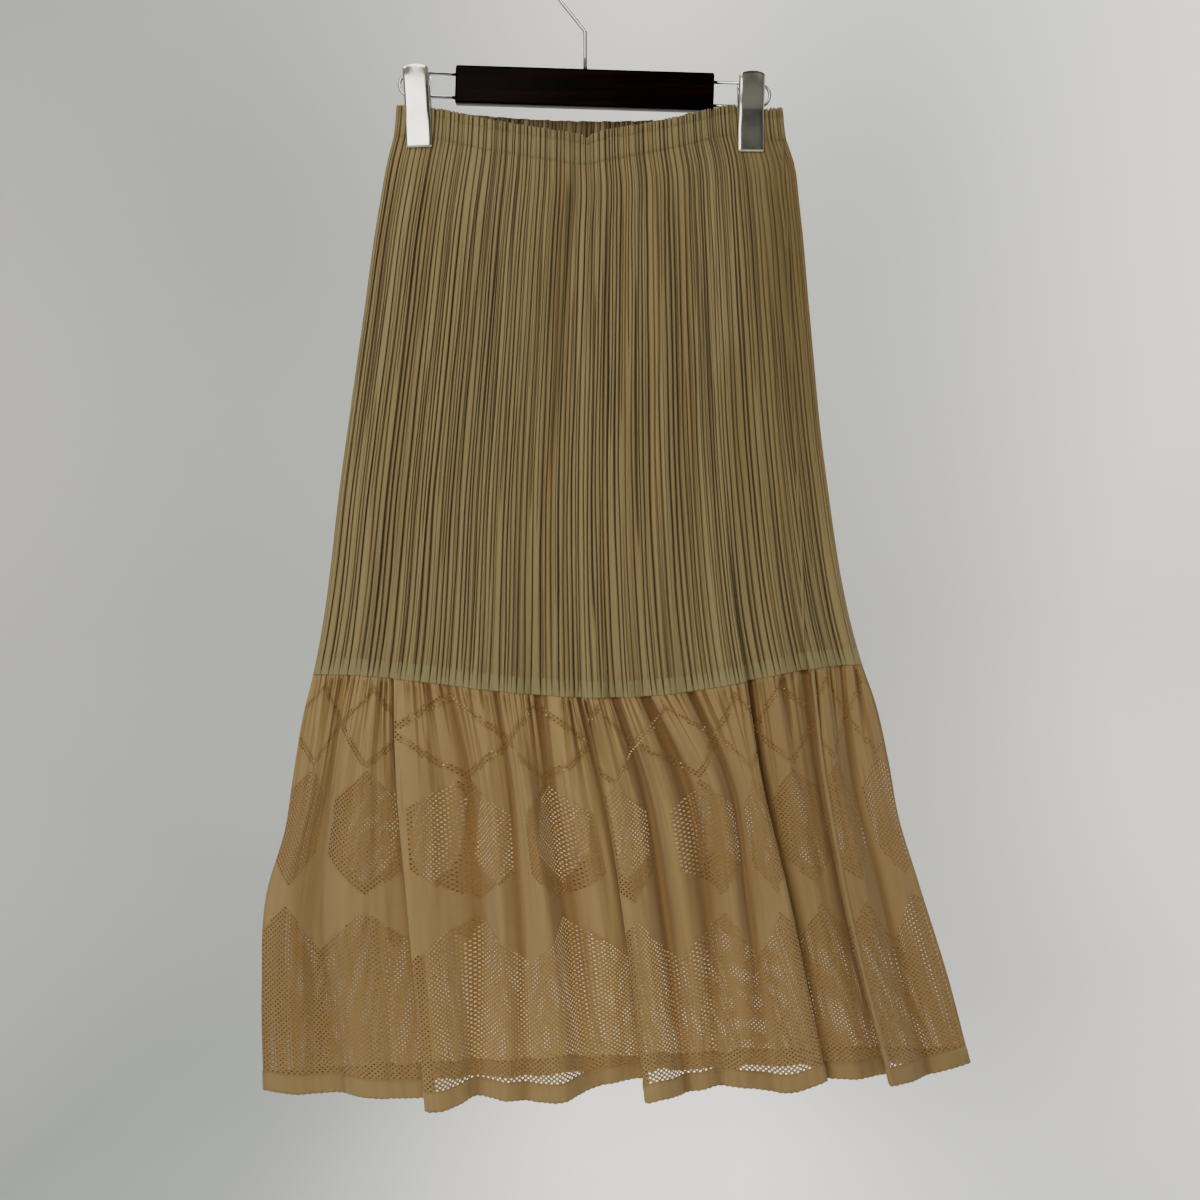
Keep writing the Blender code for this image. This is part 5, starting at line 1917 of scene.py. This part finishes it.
@dataclass
class Studio:
    """The pale room, its soft lights and the camera at the photo's place."""

    finish: bpy.types.Material
    camera_place: tuple[float, float, float] = (0.01176, -1.3, -0.5154)
    lens: float = 48.75
    floor_z: float = -1.45
    floor_radius: float = 1.7
    cove: float = 0.9
    wall_top: float = 2.4
    open_from: float = math.radians(112)
    open_to: float = math.radians(150)
    front_stretch: float = 1.6

    def backdrop(self) -> bpy.types.Object:
        """A round floor that turns up into a wall behind and beside, and stays flat in front.

        A profile of floor, quarter circle and wall is turned round the middle. Towards the
        front it is mixed into a flat and longer one.
        """
        bend = np.linspace(0, math.pi / 2, 16)[1:]
        floor = np.linspace(0.02, self.floor_radius, 7)
        wall = np.linspace(self.floor_z + self.cove, self.wall_top, 6)[1:]
        up_r = np.concatenate([floor, self.floor_radius + self.cove * np.sin(bend), 0 * wall])
        up_r[-len(wall):] = self.floor_radius + self.cove
        up_z = np.concatenate([0 * floor, self.cove * (1 - np.cos(bend)), wall - self.floor_z])
        run = np.cumsum(np.hypot(np.diff(up_r), np.diff(up_z)))
        flat_r = np.concatenate([[0.0], run]) * self.front_stretch + floor[0]
        around = np.linspace(-math.pi, math.pi, 97)[:-1]
        risen = 1 - smoothstep(self.open_from, self.open_to, np.abs(around))
        r = risen[None, :] * up_r[:, None] + (1 - risen[None, :]) * flat_r[:, None]
        z = self.floor_z + risen[None, :] * up_z[:, None]
        points = np.stack([r * np.sin(around), r * np.cos(around), z], axis=-1)
        faces = ClothMesh.grid(*r.shape, closed=True)
        cap = np.arange(len(around))[None, ::-1]
        piece = ClothMesh.build("backdrop", points, [faces, cap], self.finish)
        piece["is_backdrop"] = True
        return piece

    def light(
        self, name: str, place: tuple, aim: tuple, size: tuple, watts: float, tint: tuple
    ) -> None:
        """A soft rectangular light.

        Args:
            name: its name.
            place: where it stands.
            aim: the point that it faces.
            size: its width and height.
            watts: its power.
            tint: its colour.
        """
        lamp = bpy.data.lights.new(name, "AREA")
        lamp.shape = "RECTANGLE"
        lamp.size, lamp.size_y = size
        lamp.energy = watts
        lamp.color = tint
        holder = bpy.data.objects.new(name, lamp)
        holder.location = place
        direction = Vector(aim) - Vector(place)
        holder.rotation_euler = direction.to_track_quat("-Z", "Y").to_euler()
        bpy.context.scene.collection.objects.link(holder)

    def sky(self) -> None:
        """The rest of the room: dim in front of the skirt, lighter beside and above it."""
        world = bpy.data.worlds.new("soft room")
        world.use_nodes = True
        nodes, links = world.node_tree.nodes, world.node_tree.links
        axes = nodes.new("ShaderNodeSeparateXYZ")
        links.new(nodes.new("ShaderNodeTexCoord").outputs["Generated"], axes.inputs[0])
        strength = nodes.new("ShaderNodeMath")
        strength.operation = "MULTIPLY"
        ranges = (("Y", (-0.93, -0.30, 0.14, 0.62)), ("Z", (-0.10, 0.90, 0.30, 0.85)))
        for number, (axis, values) in enumerate(ranges):
            remap = nodes.new("ShaderNodeMapRange")
            links.new(axes.outputs[axis], remap.inputs[0])
            for k, value in enumerate(values):
                remap.inputs[k + 1].default_value = value
            links.new(remap.outputs[0], strength.inputs[number])
        background = nodes["Background"]
        background.inputs[0].default_value = (0.93, 0.95, 0.96, 1)
        links.new(strength.outputs[0], background.inputs[1])
        bpy.context.scene.world = world

    def camera(self) -> None:
        """A level camera at the photo's place."""
        lens = bpy.data.cameras.new("photo camera")
        lens.lens = self.lens
        lens.sensor_width = 36.0
        lens.sensor_fit = "HORIZONTAL"
        camera = bpy.data.objects.new("photo camera", lens)
        camera.location = self.camera_place
        camera.rotation_euler = (math.pi / 2, 0, 0)
        bpy.context.scene.collection.objects.link(camera)
        bpy.context.scene.camera = camera

    def build(self) -> None:
        """Builds the room, the lights and the camera."""
        self.backdrop()
        self.light("window", (-0.72, -2.0, 0.22), (0, 0, -0.4), (1.15, 2.1), 38, (1.0, 0.99, 0.96))
        self.light("behind", (0.3, 1.7, -0.1), (0, 0, -0.7), (1.6, 1.2), 19, (1.0, 0.99, 0.96))
        self.light("wall wash", (1.1, 0.9, 1.6), (1.2, 2.6, -1.1), (2.2, 0.8), 84, (1.0, 0.985, 0.96))
        self.sky()
        self.camera()


# Each row has the hand, x, the heights of the clip's top and foot, and its lean.
CLIPS = (
    ("left", -0.1345, -0.0906, -0.1538, math.radians(-2.3)),
    ("right", 0.1325, -0.0959, -0.1572, math.radians(0.3)),
)


def main() -> None:
    """Builds the room, the skirt and its hanger, in that order."""
    logging.basicConfig(level=logging.INFO, format="%(message)s")
    finishes = Finishes.make()
    Studio(finishes.paint).build()
    tube = Tube()
    pieces = []
    for side in Side:
        pieces += [
            Waistband(tube, side, finishes.pleated, finishes.khaki_thread).build(),
            Yoke(tube, side, finishes.pleated, finishes.khaki_thread).build(),
            Flounce(tube, side, finishes.openwork, finishes.peach_thread).build(),
        ]
    hanger = Hanger(finishes)
    pieces += hanger.build()
    for row in CLIPS:
        pieces += Clip(hanger, *row).build()
    for piece in pieces:
        LOG.info("%s: %d faces", piece.name, len(piece.data.polygons))
    boxes = [[list(corner) for corner in box] for box in (CAD_BOX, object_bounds())]


if __name__ == "__main__":
    main()
